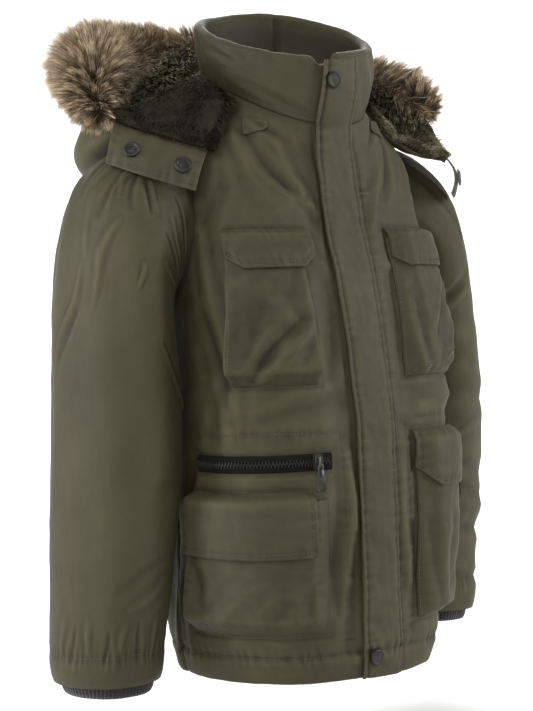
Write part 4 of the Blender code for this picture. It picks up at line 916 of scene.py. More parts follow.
def hood_section(place, steps):
    """Middle of the hood's cloth at a place round the neck, from the seam (0) to the rim (1)."""
    row = smooth_rows(HOOD_ROWS, place)
    ring = BODY.grid[round(HOOD_SEAM_LEVEL * (Body.LEVELS - 1)), ::-1]
    bearing = np.degrees(np.arctan2(ring[:, 0], ring[:, 1]))
    part = np.interp(abs(row[0]), bearing, np.linspace(1, 0, Body.ROUND))
    lift = HOOD_SHELL_WALL + 0.5 * HOOD_PLY_GAP + 0.6
    seam = BODY.point(-1 if row[0] < 0 else 1, part, HOOD_SEAM_LEVEL, lift)[0]
    knots = [(0.0, math.hypot(seam[0], seam[1]), seam[2])]
    knots += [(0.25 * k, row[2 * k], row[2 * k + 1]) for k in (1, 2, 3, 4)]
    r, z = smooth_rows(knots, steps).T
    return around_neck(r, row[0] + (row[1] - row[0]) * np.asarray(steps), z)


def surfaces_below_hood():
    """Points and outward normals of the body and the sleeves' upper parts."""
    part, level = np.meshgrid(np.linspace(0, 1, 121), np.linspace(0.6, 1, 61))
    angle, place = np.meshgrid(np.arange(0, 360, 5.0), np.linspace(0, 0.35, 36))
    points, normals = [], []
    for side in SIDES:
        sleeve = sleeve_ring(side, place, angle)
        more = sleeve_ring(side, place, angle, 1.0)
        for found, normal in (BODY.point(side, part, level), (sleeve, unit(more - sleeve))):
            points.append(found.reshape(-1, 3))
            normals.append(normal.reshape(-1, 3))
    return np.concatenate(points), np.concatenate(normals)


def hood_normals(middle):
    """Unit normals of the hood's cloth, on the plush side."""
    wide = np.pad(grid_normals(middle), ((1, 1), (1, 1), (0, 0)), mode="edge")
    normal = unit(2 * wide[1:-1, 1:-1] + wide[:-2, 1:-1] + wide[2:, 1:-1] + wide[1:-1, :-2]
                  + wide[1:-1, 2:])
    return normal if normal[len(middle) // 2, 2, 2] > 0 else -normal


def reach_of_wall(facing):
    """How far the cloth reaches along a direction it faces by this cosine."""
    half = 0.5 * HOOD_PLY_GAP
    return np.maximum((half + HOOD_SHELL_WALL) * facing, -(half + HOOD_PLUSH_WALL) * facing)


def stand_clear(points, normals, gaps, below, below_normals, fur, fur_radius):
    """Move points off the garment below them and off the fur."""
    for index, normal in enumerate(normals):
        point = points[index]
        near = np.argmin(np.sum((below - point) ** 2, axis=1))
        height = np.dot(point - below[near], below_normals[near])
        least = reach_of_wall(np.dot(normal, below_normals[near])) + HOOD_STAND
        point = point + below_normals[near] * max(least - height, 0.0)
        near = np.argmin(np.linalg.norm(fur - point, axis=1) - fur_radius)
        distance = np.linalg.norm(point - fur[near])
        away = (point - fur[near]) / distance
        least = fur_radius[near] + reach_of_wall(np.dot(normal, away)) + gaps[index]
        points[index] = point + away * max(least - distance, 0.0)


def hood_middle(places, steps):
    """Grid [places, steps] of the hood's cloth, clear of the garment and of the fur."""
    middle = np.array([hood_section(place, steps) for place in places])
    surroundings = (*surfaces_below_hood(), *hood_fur(np.linspace(*FUR_SPAN, 161)))
    gaps = np.tile(np.where(np.asarray(steps[1:]) < 1, FUR_CLEAR, FUR_SEAT), len(places))
    carries_fur = (places >= FUR_SPAN[0]) & (places <= FUR_SPAN[1])
    rim_fur, rim_radius = hood_fur(places)
    for turn in range(HOOD_EASINGS + HOOD_SETTLINGS):
        if turn < HOOD_EASINGS:
            middle = ease(middle)
        normal = hood_normals(middle)
        away = unit(middle[:, -1] - rim_fur)
        facing = np.sum(away * normal[:, -1], axis=-1)
        seated = rim_fur + away * (rim_radius + reach_of_wall(facing) + FUR_SEAT)[:, None]
        middle[carries_fur, -1] = seated[carries_fur]
        free = middle[:, 1:].reshape(-1, 3)
        stand_clear(free, normal[:, 1:].reshape(-1, 3), gaps, *surroundings)
        middle[:, 1:] = free.reshape(len(places), -1, 3)
    return middle


HOOD_MIDDLE = hood_middle(HOOD_PLACES, HOOD_STEPS)


def hood_tab_point(side, along, down, out=0.0):
    """A point of a hood's snap tab, from its sewn upper edge (down 0) to its free one."""
    (first, last), low = HOOD_TABS[side]["places"], np.array(HOOD_TABS[side]["low"], float)
    sewn = HOOD_MIDDLE[:, -1] + unit(HOOD_MIDDLE[:, -1] - HOOD_MIDDLE[:, -2]) * TAB_SEAM
    top = read_line(first + (last - first) * along, HOOD_PLACES, sewn)
    free = read_line(along, np.linspace(0, 1, len(low)), low)
    face = unit(np.cross(free - top, low[-1] - low[0]))
    face = face if face[0] * side >= 0 else -face
    bow = HOOD_TABS[side]["bow"] * math.sin(math.pi * down)
    return top * (1 - down) + free * down + face * (bow + out)


# Meshes -----------------------------------------------------------------------------------

def dressed(name, mesh, material, fields):
    """Puts a mesh in the scene with its material and its fields, a value for each point."""
    mesh.materials.append(material)
    for key, values in fields.items():
        mesh.attributes.new(key, "FLOAT", "POINT").data.foreach_set(
            "value", np.asarray(values, np.float32))
    made = bpy.data.objects.new(name, mesh)
    bpy.context.scene.collection.objects.link(made)
    return made


def new_object(name, points, faces, material, smooth=True, uv=None, fields=()):
    mesh = bpy.data.meshes.new(name)
    mesh.from_pydata((np.asarray(points) * MM).tolist(), [], faces)
    if smooth:
        mesh.shade_smooth()
    if uv is not None:
        layer = mesh.uv_layers.new(name="cloth")
        index = np.empty(len(mesh.loops), int)
        mesh.loops.foreach_get("vertex_index", index)
        layer.data.foreach_set("uv", (np.asarray(uv)[index] * MM).ravel())
    return dressed(name, mesh, material, dict(fields))


def quads(rows, columns, round_rows=False, round_columns=False):
    """Faces of a grid of points, run on round its rows or its columns where asked."""
    i, j = np.meshgrid(np.arange(rows if round_columns else rows - 1),
                       np.arange(columns if round_rows else columns - 1), indexing="ij")
    a, b = i * columns + j, i * columns + (j + 1) % columns
    down = ((i + 1) % rows - i) * columns
    return np.stack((a, b, b + down, a + down), axis=-1).reshape(-1, 4)


def inside_out(points, faces):
    """Whether the four-sided faces of a closed surface point inward."""
    corner = (points - points.mean(axis=0))[faces]
    area = np.cross(corner[:, 2] - corner[:, 0], corner[:, 3] - corner[:, 1])
    return np.sum(area * corner[:, 0]) < 0


def painted_shade(outer, inner, closed):
    """How hollow a surface is at each point: 0.5 on the flat, 1 in a valley, 0 on a ridge. The
    shell's colour uses it for painted shade in hollows and painted highlight on ridges.
    """
    normal = grid_normals(outer, closed, outer - inner)
    total = np.zeros(outer.shape[:2])
    for reach, weight in ((1, 1.0), (2, 1.0), (4, 0.8)):
        across = np.pad(outer, ((0, 0), (reach, reach), (0, 0)), "wrap" if closed else "edge")
        down = np.pad(outer, ((reach, reach), (0, 0), (0, 0)), "edge")
        pairs = ((across[:, :-2 * reach], across[:, 2 * reach:]),
                 (down[:-2 * reach], down[2 * reach:]))
        for axis, (a, b) in zip((1, 0), pairs):
            span = np.linalg.norm(b - a, axis=-1)
            bend = np.sum((0.5 * (a + b) - outer) * normal, axis=-1) / np.maximum(span, 0.5)
            if axis == 0 or not closed:
                along = np.moveaxis(bend, axis, 0)
                along[:reach] = along[-reach:] = 0
            total += weight * bend
    return np.clip(0.5 + PAINTED_SHADE_GAIN * total, 0, 1)


def cloth(name, outer, inner, material, closed=False):
    """A thin shell: a fine outer face, an inner one of every second point, and their rim."""
    under = inner[::2, ::2]
    (rows, columns), (low_rows, low_columns) = outer.shape[:2], under.shape[:2]
    first = rows * columns
    top = quads(rows, columns, closed)
    low = first + quads(low_rows, low_columns, closed)[:, [1, 0, 3, 2]]
    rims = []
    for row, step in ((0, 1), (low_rows - 1, -1)):
        for k in range(low_columns if closed else low_columns - 1):
            up = [2 * row * columns + (2 * k + s) % columns for s in (2, 1, 0)]
            down = [first + row * low_columns + (k + s) % low_columns for s in (0, 1)]
            rims.append((up + down)[::step])
    for column, step in () if closed else ((0, -1), (low_columns - 1, 1)):
        for k in range(low_rows - 1):
            up = [(2 * k + s) * columns + 2 * column for s in (2, 1, 0)]
            down = [first + (k + s) * low_columns + column for s in (0, 1)]
            rims.append((up + down)[::step])
    points = np.concatenate((outer.reshape(-1, 3), under.reshape(-1, 3)))
    faces = top.tolist() + low.tolist() + rims
    if inside_out(points, np.concatenate((top, low))):
        faces = [face[::-1] for face in faces]
    uv = np.stack((way_along(outer, 1)[0], way_along(outer, 0)[0]), axis=-1)
    uv = np.concatenate((uv.reshape(-1, 2), uv[::2, ::2].reshape(-1, 2)))
    rim = np.zeros((rows, columns))
    rim[[0, -1]] = 1.0
    if not closed:
        rim[:, [0, -1]] = 1.0
    # Painted shade in hollows and painted highlight on ridges, kept as a field that the shell's
    # colour reads; the inner face stays neutral.
    hollow = (painted_shade(outer, inner, closed).ravel(), np.full(low_rows * low_columns, 0.5))
    return new_object(name, points, faces, material, uv=uv, fields={
        "wear": np.concatenate((rim.ravel(), rim[::2, ::2].ravel())),
        "painted_shade": np.concatenate(hollow)})


def capped(count, size):
    """Faces of a tube of rings, with its two ends."""
    ends = [tuple(range(size - 1, -1, -1)), tuple(range((count - 1) * size, count * size))]
    return quads(count, size, True).tolist() + ends


def loft(name, rings, material, closed=False, fields=()):
    """A solid through rings [rings, points, 3], joined in a loop if closed."""
    count, size = rings.shape[:2]
    faces = quads(count, size, True, True).tolist() if closed else capped(count, size)
    uv = np.stack((way_along(rings, 1)[0], way_along(rings, 0)[0]), axis=-1)
    points = rings.reshape(-1, 3)
    made = new_object(name, points, faces, material, uv=uv.reshape(-1, 2), fields=fields)
    if inside_out(points, quads(count, size, True, closed)):
        made.data.flip_normals()
    return made


# Sewing -----------------------------------------------------------------------------------

STITCHES = []       # (point, along, out) of each stitch


def sew(points, normals, lift=0.28):
    """Lays stitches along a line of points on a surface with those normals."""
    way = run_of(points)
    count = int(way[-1] / STITCH_PITCH)
    if count < 1:
        return
    at = (np.arange(count) + 0.5) * way[-1] / count
    before, middle, after = (read_line(at + shift, way, points) for shift in (-0.5, 0.0, 0.5))
    out = unit(read_line(at, way, unit(normals)))
    STITCHES.append(np.stack((middle + out * lift, unit(after - before), out), axis=1))


def sew_grid(outer, normals, inset, edges="lrtb", stop=0.0):
    """Stitches beside the edges of a grid, inset from them: l, r its columns, t, b its rows."""
    for edge in edges:
        fields = (from_edge(outer, edge)[0], outer, normals)
        if edge in "tb":
            fields = [np.swapaxes(field, 0, 1) for field in fields]
        lines, outs = [], []
        for at, line, turn in zip(*fields):
            order = np.argsort(at)
            lines.append(read_line(inset, at[order], line[order]))
            outs.append(read_line(inset, at[order], turn[order]))
        lines, outs = np.array(lines), np.array(outs)
        step = run_of(lines)
        keep = (step >= inset + stop) & (step <= step[-1] - inset - stop)
        if keep.sum() > 2:
            sew(lines[keep], outs[keep])


def stitch_mesh(name, material):
    """All the stitches as one mesh of small lozenges."""
    centre, along, out = np.moveaxis(np.concatenate(STITCHES), 1, 0)
    across = np.cross(along, out)
    length, width, height = (0.5 * size for size in STITCH_SIZE)
    corners = [centre + along * length * end - out * 0.2 for end in (-1, 1)]
    corners += [centre + across * width * side + out * height * up
                for side, up in ((-1, 0), (0, 1), (1, 0), (0, -1))]
    points = np.stack(corners, axis=1).reshape(-1, 3)
    pattern = []
    for k in range(4):
        a, b = 2 + k, 2 + (k + 1) % 4
        pattern += [(0, a, b), (1, b, a)]
    base = (np.arange(len(centre)) * 6)[:, None, None]
    faces = (base + np.array(pattern)[None]).reshape(-1, 3).tolist()
    return new_object(name, points, faces, material)


# Materials --------------------------------------------------------------------------------

class Shader:
    """A Principled material that is built node by node."""

    def __init__(self, name, **sockets):
        self.material = bpy.data.materials.new(name)
        self.material.use_nodes = True
        self.tree = self.material.node_tree
        self.shader = self.tree.nodes["Principled BSDF"]
        for key, value in sockets.items():
            self.shader.inputs[key.replace("_", " ")].default_value = value

    def add(self, kind, inputs=(), **settings):
        node = self.tree.nodes.new(kind)
        for key, value in settings.items():
            setattr(node, key, value)
        for socket, value in dict(inputs).items():
            if isinstance(value, bpy.types.NodeSocket):
                self.tree.links.new(value, node.inputs[socket])
            else:
                node.inputs[socket].default_value = value
        return node

    def noise(self, scale, detail=3.0, kind="Object", stretch=(1, 1, 1), warp=0.0):
        """Noise over texture coordinates in metres, stretched."""
        source = self.add("ShaderNodeTexCoord").outputs[kind]
        mapping = self.add("ShaderNodeMapping", {"Vector": source, "Scale": stretch})
        return self.add("ShaderNodeTexNoise", {
            "Vector": mapping.outputs["Vector"], "Scale": scale, "Detail": detail,
            "Roughness": 0.55, "Distortion": warp}).outputs["Fac"]

    def math(self, operation, a, b=0.0):
        return self.add("ShaderNodeMath", {0: a, 1: b}, operation=operation).outputs[0]

    def halves(self, a, b):
        return self.math("ADD", self.math("MULTIPLY", a, 0.5), self.math("MULTIPLY", b, 0.5))

    def ramp(self, value, *stops):
        """Colours along a value: (place, (r, g, b)) for each stop."""
        node = self.add("ShaderNodeValToRGB", {"Fac": value})
        ends = node.color_ramp.elements
        while len(ends) < len(stops):
            ends.new(0.5)
        for end, (place, colour) in zip(ends, stops):
            end.position = place
            end.color = (*colour, 1.0)
        return node.outputs["Color"]

    def mix(self, share, a, b, blend="MIX"):
        b = b if isinstance(b, bpy.types.NodeSocket) else (*b, 1.0)
        return self.add("ShaderNodeMix", {0: share, 6: a, 7: b}, data_type="RGBA",
                        blend_type=blend).outputs[2]

    def field(self, name):
        return self.add("ShaderNodeAttribute", attribute_name=name).outputs["Fac"]

    def grey(self, value):
        """A value as a grey colour that may be brighter than white."""
        return self.add("ShaderNodeCombineColor", {0: value, 1: value, 2: value}).outputs[0]

    def bump(self, *layers):
        """Stacks bumps: (height, distance in metres, strength)."""
        inputs = {}
        for height, distance, strength in layers:
            inputs.update(Height=height, Distance=distance, Strength=strength)
            inputs["Normal"] = self.add("ShaderNodeBump", inputs).outputs["Normal"]
        self.tree.links.new(inputs["Normal"], self.shader.inputs["Normal"])

    def colour(self, value):
        self.tree.links.new(value, self.shader.inputs["Base Color"])

    def rough(self, value, low, high):
        spread = self.add("ShaderNodeMapRange", {0: value, 3: low, 4: high}).outputs[0]
        self.tree.links.new(spread, self.shader.inputs["Roughness"])


def shell_material(name="shell_cloth_olive", shade=1.0):
    """Close-woven matt poly-cotton: fine warp and weft, slight slubs and soft creasing, with painted
    shade in its hollows and painted highlight on its ridges; a shade below 1 darkens the whole
    colour as painted shade.
    """
    made = Shader(name, Sheen_Weight=0.05, Sheen_Roughness=0.40,
                  Sheen_Tint=(0.60, 0.53, 0.36, 1.0), Specular_IOR_Level=0.20)
    weave = made.math("ADD", made.noise(1700, 2.0, "UV", (1.0, 0.12, 1.0)),
                      made.noise(1700, 2.0, "UV", (0.12, 1.0, 1.0)))
    slub = made.noise(260, 2.0, "UV", (1.0, 0.08, 1.0))
    crumple = made.noise(70.0, 3.0, warp=0.6)
    deep, mid, pale = (tuple(shade * c for c in colour) for colour in OLIVES)
    tone = made.ramp(made.noise(9.0, 4.0), (0.30, deep), (0.50, mid), (0.72, pale))
    thread = made.ramp(weave, (0.35, (0.86, 0.86, 0.86)), (0.65, (1.0, 1.0, 1.0)),
                       (0.95, (1.14, 1.14, 1.12)))
    tone = made.mix(1.0, tone, thread, "MULTIPLY")
    tone = made.mix(made.math("MULTIPLY", made.field("wear"), 0.5), tone,
                    tuple(1.35 * c for c in pale))
    # Painted light: the colour is darkened in hollows as painted shade and lightened on ridges as
    # painted highlight.
    fold = made.ramp(made.field("painted_shade"), (0.20, (1.30, 1.30, 1.28)), (0.48, (1.0, 1.0, 1.0)),
                     (0.78, (0.70, 0.67, 0.60)), (1.0, (0.40, 0.38, 0.33)))
    made.colour(made.mix(1.0, tone, fold, "MULTIPLY"))
    made.rough(slub, 0.58, 0.72)
    made.bump((crumple, 0.0022, 0.35), (slub, 0.00025, 0.25), (weave, 0.00012, 0.35))
    return made.material


def pile_material(name, root, middle, tip, spread, shine):
    """Fur or plush: each hair runs from its root's colour to its tip's, none quite alike."""
    made = Shader(name, Roughness=0.60, Specular_IOR_Level=shine, Sheen_Weight=0.2 * shine,
                  Sheen_Roughness=0.4, Sheen_Tint=(0.8, 0.70, 0.54, 1.0))
    unlike = made.math("MULTIPLY", made.math("SUBTRACT", made.field("tint"), 0.5), spread)
    tone = made.ramp(made.math("ADD", made.field("tip"), unlike),
                     (0.28, root), (0.60, middle), (0.80, middle), (1.06, tip))
    patch = made.ramp(made.noise(38.0, 3.0), (0.30, (0.74, 0.74, 0.74)), (0.70, (1.16, 1.14, 1.12)))
    tone = made.mix(1.0, tone, patch, "MULTIPLY")
    # The shade field scales the colour: painted light and painted shade on the plush, a random tone
    # for each tuft on the fur.
    made.colour(made.mix(1.0, tone, made.grey(made.field("shade")), "MULTIPLY"))
    return made.material


def core_material(name, colour):
    """The dense pile's backing under the loose hairs."""
    made = Shader(name, Roughness=0.95, Specular_IOR_Level=0.1)
    fibre, tuft = made.noise(420.0, 4.0), made.noise(70.0, 3.0, warp=0.8)
    made.colour(made.ramp(made.halves(fibre, tuft), (0.30, tuple(0.45 * c for c in colour)),
                          (0.70, colour)))
    made.bump((tuft, 0.004, 0.6), (fibre, 0.0015, 0.7))
    return made.material


def metal_material(name, dark, pale, shine):
    """Dark plated metal, brushed, a little brighter where it is rubbed."""
    made = Shader(name, Metallic=0.85, Specular_IOR_Level=0.5)
    brush = made.noise(500.0, 3.0, "Object", (1.0, 1.0, 0.15))
    made.colour(made.ramp(made.halves(brush, made.noise(120.0, 2.0)), (0.3, dark), (0.7, pale)))
    made.rough(brush, shine - 0.07, shine + 0.12)
    made.bump((brush, 0.00008, 0.25),)
    return made.material


def grain_material(name, noises, dark, pale, rough, bump, **sockets):
    """A plain dark material whose colour, roughness and bump follow the same noises."""
    made = Shader(name, **sockets)
    grain = made.noise(*noises[0])
    for noise in noises[1:]:
        grain = made.math("ADD", grain, made.noise(*noise))
    made.colour(made.ramp(grain, dark, pale))
    if rough:
        made.rough(grain, *rough)
    made.bump((grain, *bump),)
    return made.material


OLIVES = ((0.0258, 0.0230, 0.0110), (0.0308, 0.0276, 0.0134), (0.0368, 0.0332, 0.0172))
SHELL = shell_material()
# The pockets and flaps use a copy of the shell cloth made darker as painted shade; it is the same
# fabric.
SHADED_SHELL = shell_material("shell_cloth_pocket_painted_shade", 0.84)
THREAD = grain_material("thread_olive", [(1500.0, 1.0)], (0.3, (0.020, 0.018, 0.010)),
                        (0.7, (0.044, 0.040, 0.024)), None, (0.0001, 0.4), Roughness=0.6,
                        Specular_IOR_Level=0.3, Sheen_Weight=0.2)
RIB = grain_material("rib_knit_black", [(1100.0, 2.0, "UV", (1.0, 0.5, 1.0))],
                     (0.3, (0.006, 0.006, 0.006)), (0.8, (0.022, 0.021, 0.020)), (0.8, 0.95),
                     (0.0005, 0.6), Sheen_Weight=0.2, Sheen_Roughness=0.5, Specular_IOR_Level=0.2)
TAPE = grain_material("zip_tape_black", [(1500.0, 1.0, "UV", (1.0, 0.15, 1.0)),
                                         (1500.0, 1.0, "UV", (0.15, 1.0, 1.0))],
                      (0.5, (0.002, 0.002, 0.002)), (1.3, (0.007, 0.007, 0.006)), (0.75, 0.9),
                      (0.0002, 0.5), Specular_IOR_Level=0.05)
TOOTH = grain_material("zip_teeth_black", [(900.0, 2.0)], (0.3, (0.008, 0.008, 0.008)),
                       (0.7, (0.016, 0.016, 0.017)), (0.32, 0.5), (0.0001, 0.3),
                       Specular_IOR_Level=0.17)
METAL = metal_material("gunmetal_matt", (0.016, 0.015, 0.013), (0.038, 0.036, 0.032), 0.42)
PULL_METAL = metal_material("gunmetal_worn", (0.018, 0.017, 0.016), (0.050, 0.048, 0.045), 0.30)
RING_METAL = metal_material("ring_metal", (0.045, 0.044, 0.042), (0.13, 0.13, 0.125), 0.30)
FUR_HAIR = pile_material("fur_hair", (0.034, 0.024, 0.015), (0.20, 0.140, 0.082),
                         (0.62, 0.50, 0.35), 0.60, 0.16)
PLUSH_HAIR = pile_material("plush_hair", (0.022, 0.019, 0.012), (0.056, 0.050, 0.032),
                           (0.120, 0.110, 0.074), 0.45, 0.06)
FUR_CORE = core_material("fur_core", (0.045, 0.032, 0.021))
PLUSH_CORE = core_material("plush_core", (0.020, 0.018, 0.011))


# Pieces -----------------------------------------------------------------------------------

def piece(made, node, body="garment"):
    """Puts a piece under its body's empty and hides the node that it stands for; its cut is looked
    up in CUTS but not used.
    """
    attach(made, body)
    if node:
        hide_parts(node)
    if node in CUTS:
        width, length, share = CUTS[node]
    return made


def cloth_piece(node, outer, inner, material=SHELL,
                ending="cloth", closed=False):
    """A thin shell of cloth that stands for a node."""
    made = cloth("%s_%s" % (node, ending), outer, inner, material, closed)
    return piece(made, node)


def levels_of(low, middle, high):
    """Rows of a panel: even on the body, bunched at both ends of the armhole."""
    turn = np.linspace(0, math.pi, middle + 1)
    return np.concatenate((np.linspace(0, ARMPIT_LEVEL, low + 1)[:-1],
                           ARMHOLE_MIDDLE - ARMHOLE_HALF * np.cos(turn),
                           np.linspace(SHOULDER_LEVEL, 1, high + 1)[1:]))


def body_panel(name, columns, levels):
    """A panel through columns, each a side and its part of the way round at every level."""
    found = [BODY.point(side, part, levels) for side, part in columns]
    outer, normal = (np.stack(field, axis=1) for field in zip(*found))
    cloth_piece(name, outer, outer - CLOTH * normal)


def body_pieces():
    fine, levels = levels_of(134, 66, 36), levels_of(98, 48, 26)
    start, edge = COLLAR_HALF_OPENING / BODY.girth(fine), BODY.panel_edge(fine, -1)
    for side in SIDES:
        body_panel("front_" + SIDE_NAME[side],
                   [(side, start + (edge - start) * t) for t in np.linspace(0, 1, 81)], fine)
    edge, steps = BODY.panel_edge(levels, 1), np.linspace(0, 1, 47)
    body_panel("back", [(-1, edge + (1 - edge) * t) for t in steps]
               + [(1, edge + (1 - edge) * t) for t in steps[-2::-1]], levels)
    for side in SIDES:
        for stitch_side, line in BODY_STITCHES:
            if stitch_side == side:
                sew(*BODY.place(side, *spread_line(line)), BODY_STITCH_LIFT)
        part = np.linspace(HEM_STITCH_START[side], 1, 260)
        sew(*BODY.point(side, part, HEM_STITCH_LEVEL), BODY_STITCH_LIFT)
        for off in ARMHOLE_STITCHES:
            around = BODY.armhole(np.linspace(0, 2 * math.pi, 200), off)
            sew(*BODY.point(side, *around), BODY_STITCH_LIFT)


def spread_line(line, step=3.0):
    """The u and h of points close together along a line of places."""
    line = np.array(line, float)
    run = run_of(line)
    return read_line(np.linspace(0, run[-1], max(int(run[-1] / step), 2)), run, line).T


def sleeve_relief(side, spot, turn):
    """Relief of a sleeve: creases, its sewn and rolled end, and the gathers at its head."""
    base = sleeve_ring(side, spot, turn)
    to_end, to_head = (1 - spot) * SLEEVE_LENGTH, spot * SLEEVE_LENGTH + 6
    lift = 0.45 * waves(base * (1, 1, 0.5), 70, 11 + side) + 0.15 * waves(base, 26, 15 + side)
    rows = scaled(SLEEVE_CREASES, DEGREE_MM, SLEEVE_LENGTH)
    for shift in (-360, 0, 360):
        lift += SLEEVE_CREASE_SHARE * creases(DEGREE_MM * (turn + shift), spot * SLEEVE_LENGTH,
                                              rows, side)
    round_way = np.radians(turn) * SLEEVE_RADIUS
    lift += sewing(np.abs(to_end - SLEEVE_HEM), round_way, side, 1.6)
    lift += 0.7 * bell(to_end - 12, 9) - np.exp(-to_end / 2.5)
    gather = np.sin(round_way / 5.2 + 1.5 * np.sin(round_way / 31 + side))
    return lift + 0.8 * gather * bell(to_head, 16)


def sleeve_pieces():
    places = np.linspace(0, 1, 127) ** 1.1
    for side, count in zip(SIDES, (192, 128)):
        angle = np.arange(count) * 360.0 / count
        spot, turn = np.meshgrid(places, angle, indexing="ij")
        lift = sleeve_relief(side, spot, turn)
        outer, inner = (sleeve_ring(side, spot, turn, lift - wall) for wall in (0, CLOTH))
        first_outer, first_inner = armhole_ring(side, count)
        away = unit(outer[0] - outer[0].mean(axis=0))
        head_outer = 0.5 * (first_outer + outer[0]) + away * SLEEVE_HEAD_ROLL
        head_inner = 0.5 * (first_inner + inner[0])
        sunk = first_outer - 0.8 * unit(first_outer - first_inner)
        outer = np.concatenate(((sunk, head_outer), outer))
        inner = np.concatenate(((first_inner, head_inner), inner))
        cloth_piece("sleeve_" + SIDE_NAME[side], outer, inner, closed=True)
        way = np.linspace(0, 360, 240)
        spot = np.full(way.shape, 1 - SLEEVE_HEM / SLEEVE_LENGTH)
        sewn = np.interp(way, angle, lift[np.argmin(np.abs(places - spot[0]))])
        line, more = (sleeve_ring(side, spot, way, sewn + out) for out in (0, 1))
        sew(line, more - line)


def cuff_pieces():
    angle = np.arange(432) * 360.0 / 432
    rib = (0.75 * np.abs(np.sin(np.radians(angle) * CUFF_RIBS)) ** 0.7 - 0.2)[:, None]
    t = np.linspace(0, 1, 13)[:, None, None]
    for side in SIDES:
        end = np.ones(angle.shape)
        top = sleeve_ring(side, end * CUFF_TOP_PLACE, angle, -CLOTH - 1.2)
        low = sleeve_ring(side, end, angle, -CLOTH - CUFF_INSET) - np.array((0, 0, CUFF_REACH))
        rings = top * (1 - t) + low * t
        away = unit((rings - sleeve_ring(side, end, angle).mean(axis=0)) * (1, 1, 0))
        swell = 0.8 * np.sin(math.pi * t) - 0.8 * np.maximum(t - 0.92, 0) / 0.08
        outer = rings + away * (rib * np.minimum(1, 2 * t) + swell)
        cloth_piece("cuff_" + SIDE_NAME[side], outer, rings - away * CUFF_WALL, RIB,
                    "rib", True)


def collar_section(base):
    """Rows of the collar's padded section from its seam over the rim and down inside, and how
    far up each row is: 0 at the seam, 1 at the rim, more inside."""
    rises, inside = (0.0, 0.22, 0.45, 0.7, 0.92), (0.9, 0.55, 0.2, 0.0)
    section = [collar_surface(base, rise) for rise in rises]
    rim, half_wall = collar_surface(base, 1.0), 0.5 * COLLAR_WALL
    for turn in np.radians((20, 90, 160)):
        section.append(rim + unit(rim * (1, 1, 0)) * half_wall * (math.cos(turn) - 1)
                       + np.array((0, 0, half_wall * math.sin(turn))))
    section += [collar_surface(base, rise, -COLLAR_WALL) for rise in inside]
    section = np.stack(section)
    from_end = np.linalg.norm(base - base[0], axis=-1)
    drop = COLLAR_END_DROP * np.exp(-((from_end - 15) / 5).clip(0) ** 2) * (base[:, 0] < 0)
    share = np.clip((np.array((*rises, 1, 1, 1, *inside)) - 0.4) / 0.6, 0, 1)
    section[..., 2] -= share[:, None] ** 1.5 * drop
    return section, (*rises, 1.0, 1.04, 1.08, 1.18, 1.53, 1.88, 2.08)


def collar_piece():
    base = neck_ring(221)
    section, way = collar_section(base)
    grid = resample(section, (45, len(base)))
    rise = 100 * np.interp(np.linspace(0, 11, 45), np.arange(12), way)[:, None]
    turn = np.degrees(np.arctan2(base[:, 0], -base[:, 1]))[None, :]
    outward = np.where(rise[..., None] < 100, 1.0, -1.0) * grid * (1, 1, 0)
    normal = grid_normals(grid, toward=outward)
    lift = 0.4 * waves(grid, 46, 21) + 0.12 * waves(grid, 18, 22)
    for crease in COLLAR_CREASES:
        lift += 0.55 * creases(turn, rise, ((0, *crease),), 1) * (1 - 0.75 * bell(rise - 104, 9))
    inner_fold = bell(turn - 150 + 0.03 * (rise - 104), 2.4) * np.clip((rise - 103) / 6, 0, 1)
    lift += sewing(np.abs(rise - 6) * 0.6, turn * 1.3, 3.0) - 3.2 * inner_fold
    pinch = np.exp(-np.minimum(rise, 208 - rise) / 3.0)
    grid = grid + normal * (lift * (1 - pinch))[..., None]
    # Painted shade: the collar's inside below the rim and its inner fold are darkened through the
    # same field as the crease shading.
    dark = 0.5 + 0.40 * np.clip((rise - 104) / 22, 0, 1) + 0.16 * inner_fold
    made = loft("collar_padded", np.moveaxis(grid, 0, 1), SHELL,
                fields={"painted_shade": dark.T.ravel()})
    piece(made, "collar")
    row = int(np.argmin(np.abs(rise[:, 0] - 7)))
    sew(grid[row], normal[row], 0.3)


def placket_piece():
    neck_h = BODY.front_z[-1]
    heights = np.concatenate((np.linspace(PLACKET_ROWS[0][0], neck_h - 12, 170),
                              np.linspace(neck_h - 9, neck_h + 0.99 * PLACKET_TOP_RISE, 31)))
    right, left = smooth_rows(PLACKET_ROWS, heights).T[..., None]
    t = np.linspace(0, 1, 31)[None, :]
    u, h = np.broadcast_arrays(right + (left - right) * t, heights[:, None])
    roll = np.clip(1 - t / 0.12, 0, 1) + 1.4 * np.exp(-t / 0.10)
    from_free, from_sewn = t * (left - right), (1 - t) * (left - right)
    from_end = np.minimum(heights - heights[0], heights[-1] - heights)[:, None]
    lift = 0.35 * waves(np.stack((u * 1.5, h, 0 * u), -1), 38, 31)
    lift += sewing(np.abs(from_free - PLACKET_STITCHES["l"]), h, 1.0, 1.2)
    lift += sewing(np.abs(from_sewn - PLACKET_STITCHES["r"]), h + 5, 2.0)
    lift += 1.1 * bell(from_free - 1.8, 1.3) - 0.9 * bell(from_free - 4.6, 1.1)
    lift -= 0.7 * np.exp(-from_free / 1.4) + 0.9 * np.exp(-from_sewn / 1.4)
    lift -= 0.7 * np.exp(-from_end / 1.4) + 0.9 * bell(from_sewn - 3.2, 1.1)
    lift += 0.9 * np.sin(h / 27 + 1.4 * np.sin(h / 61)) * np.exp(-from_free / 9)
    outer = strip_point(u, h, LIE + roll + PLACKET_WALL + lift)
    cloth_piece("placket", outer, strip_point(u, h, LIE + roll))
    normal = grid_normals(outer, toward=FRONT)
    for edge, inset in PLACKET_STITCHES.items():
        sew_grid(outer, normal, inset, edge)


def pocket_relief(u, h, side, seed):
    points = np.stack((u, h, 0 * u + 40 * side), -1)
    return 0.6 * waves(points, 44, seed) + 0.25 * waves(points, 17, seed + 1)


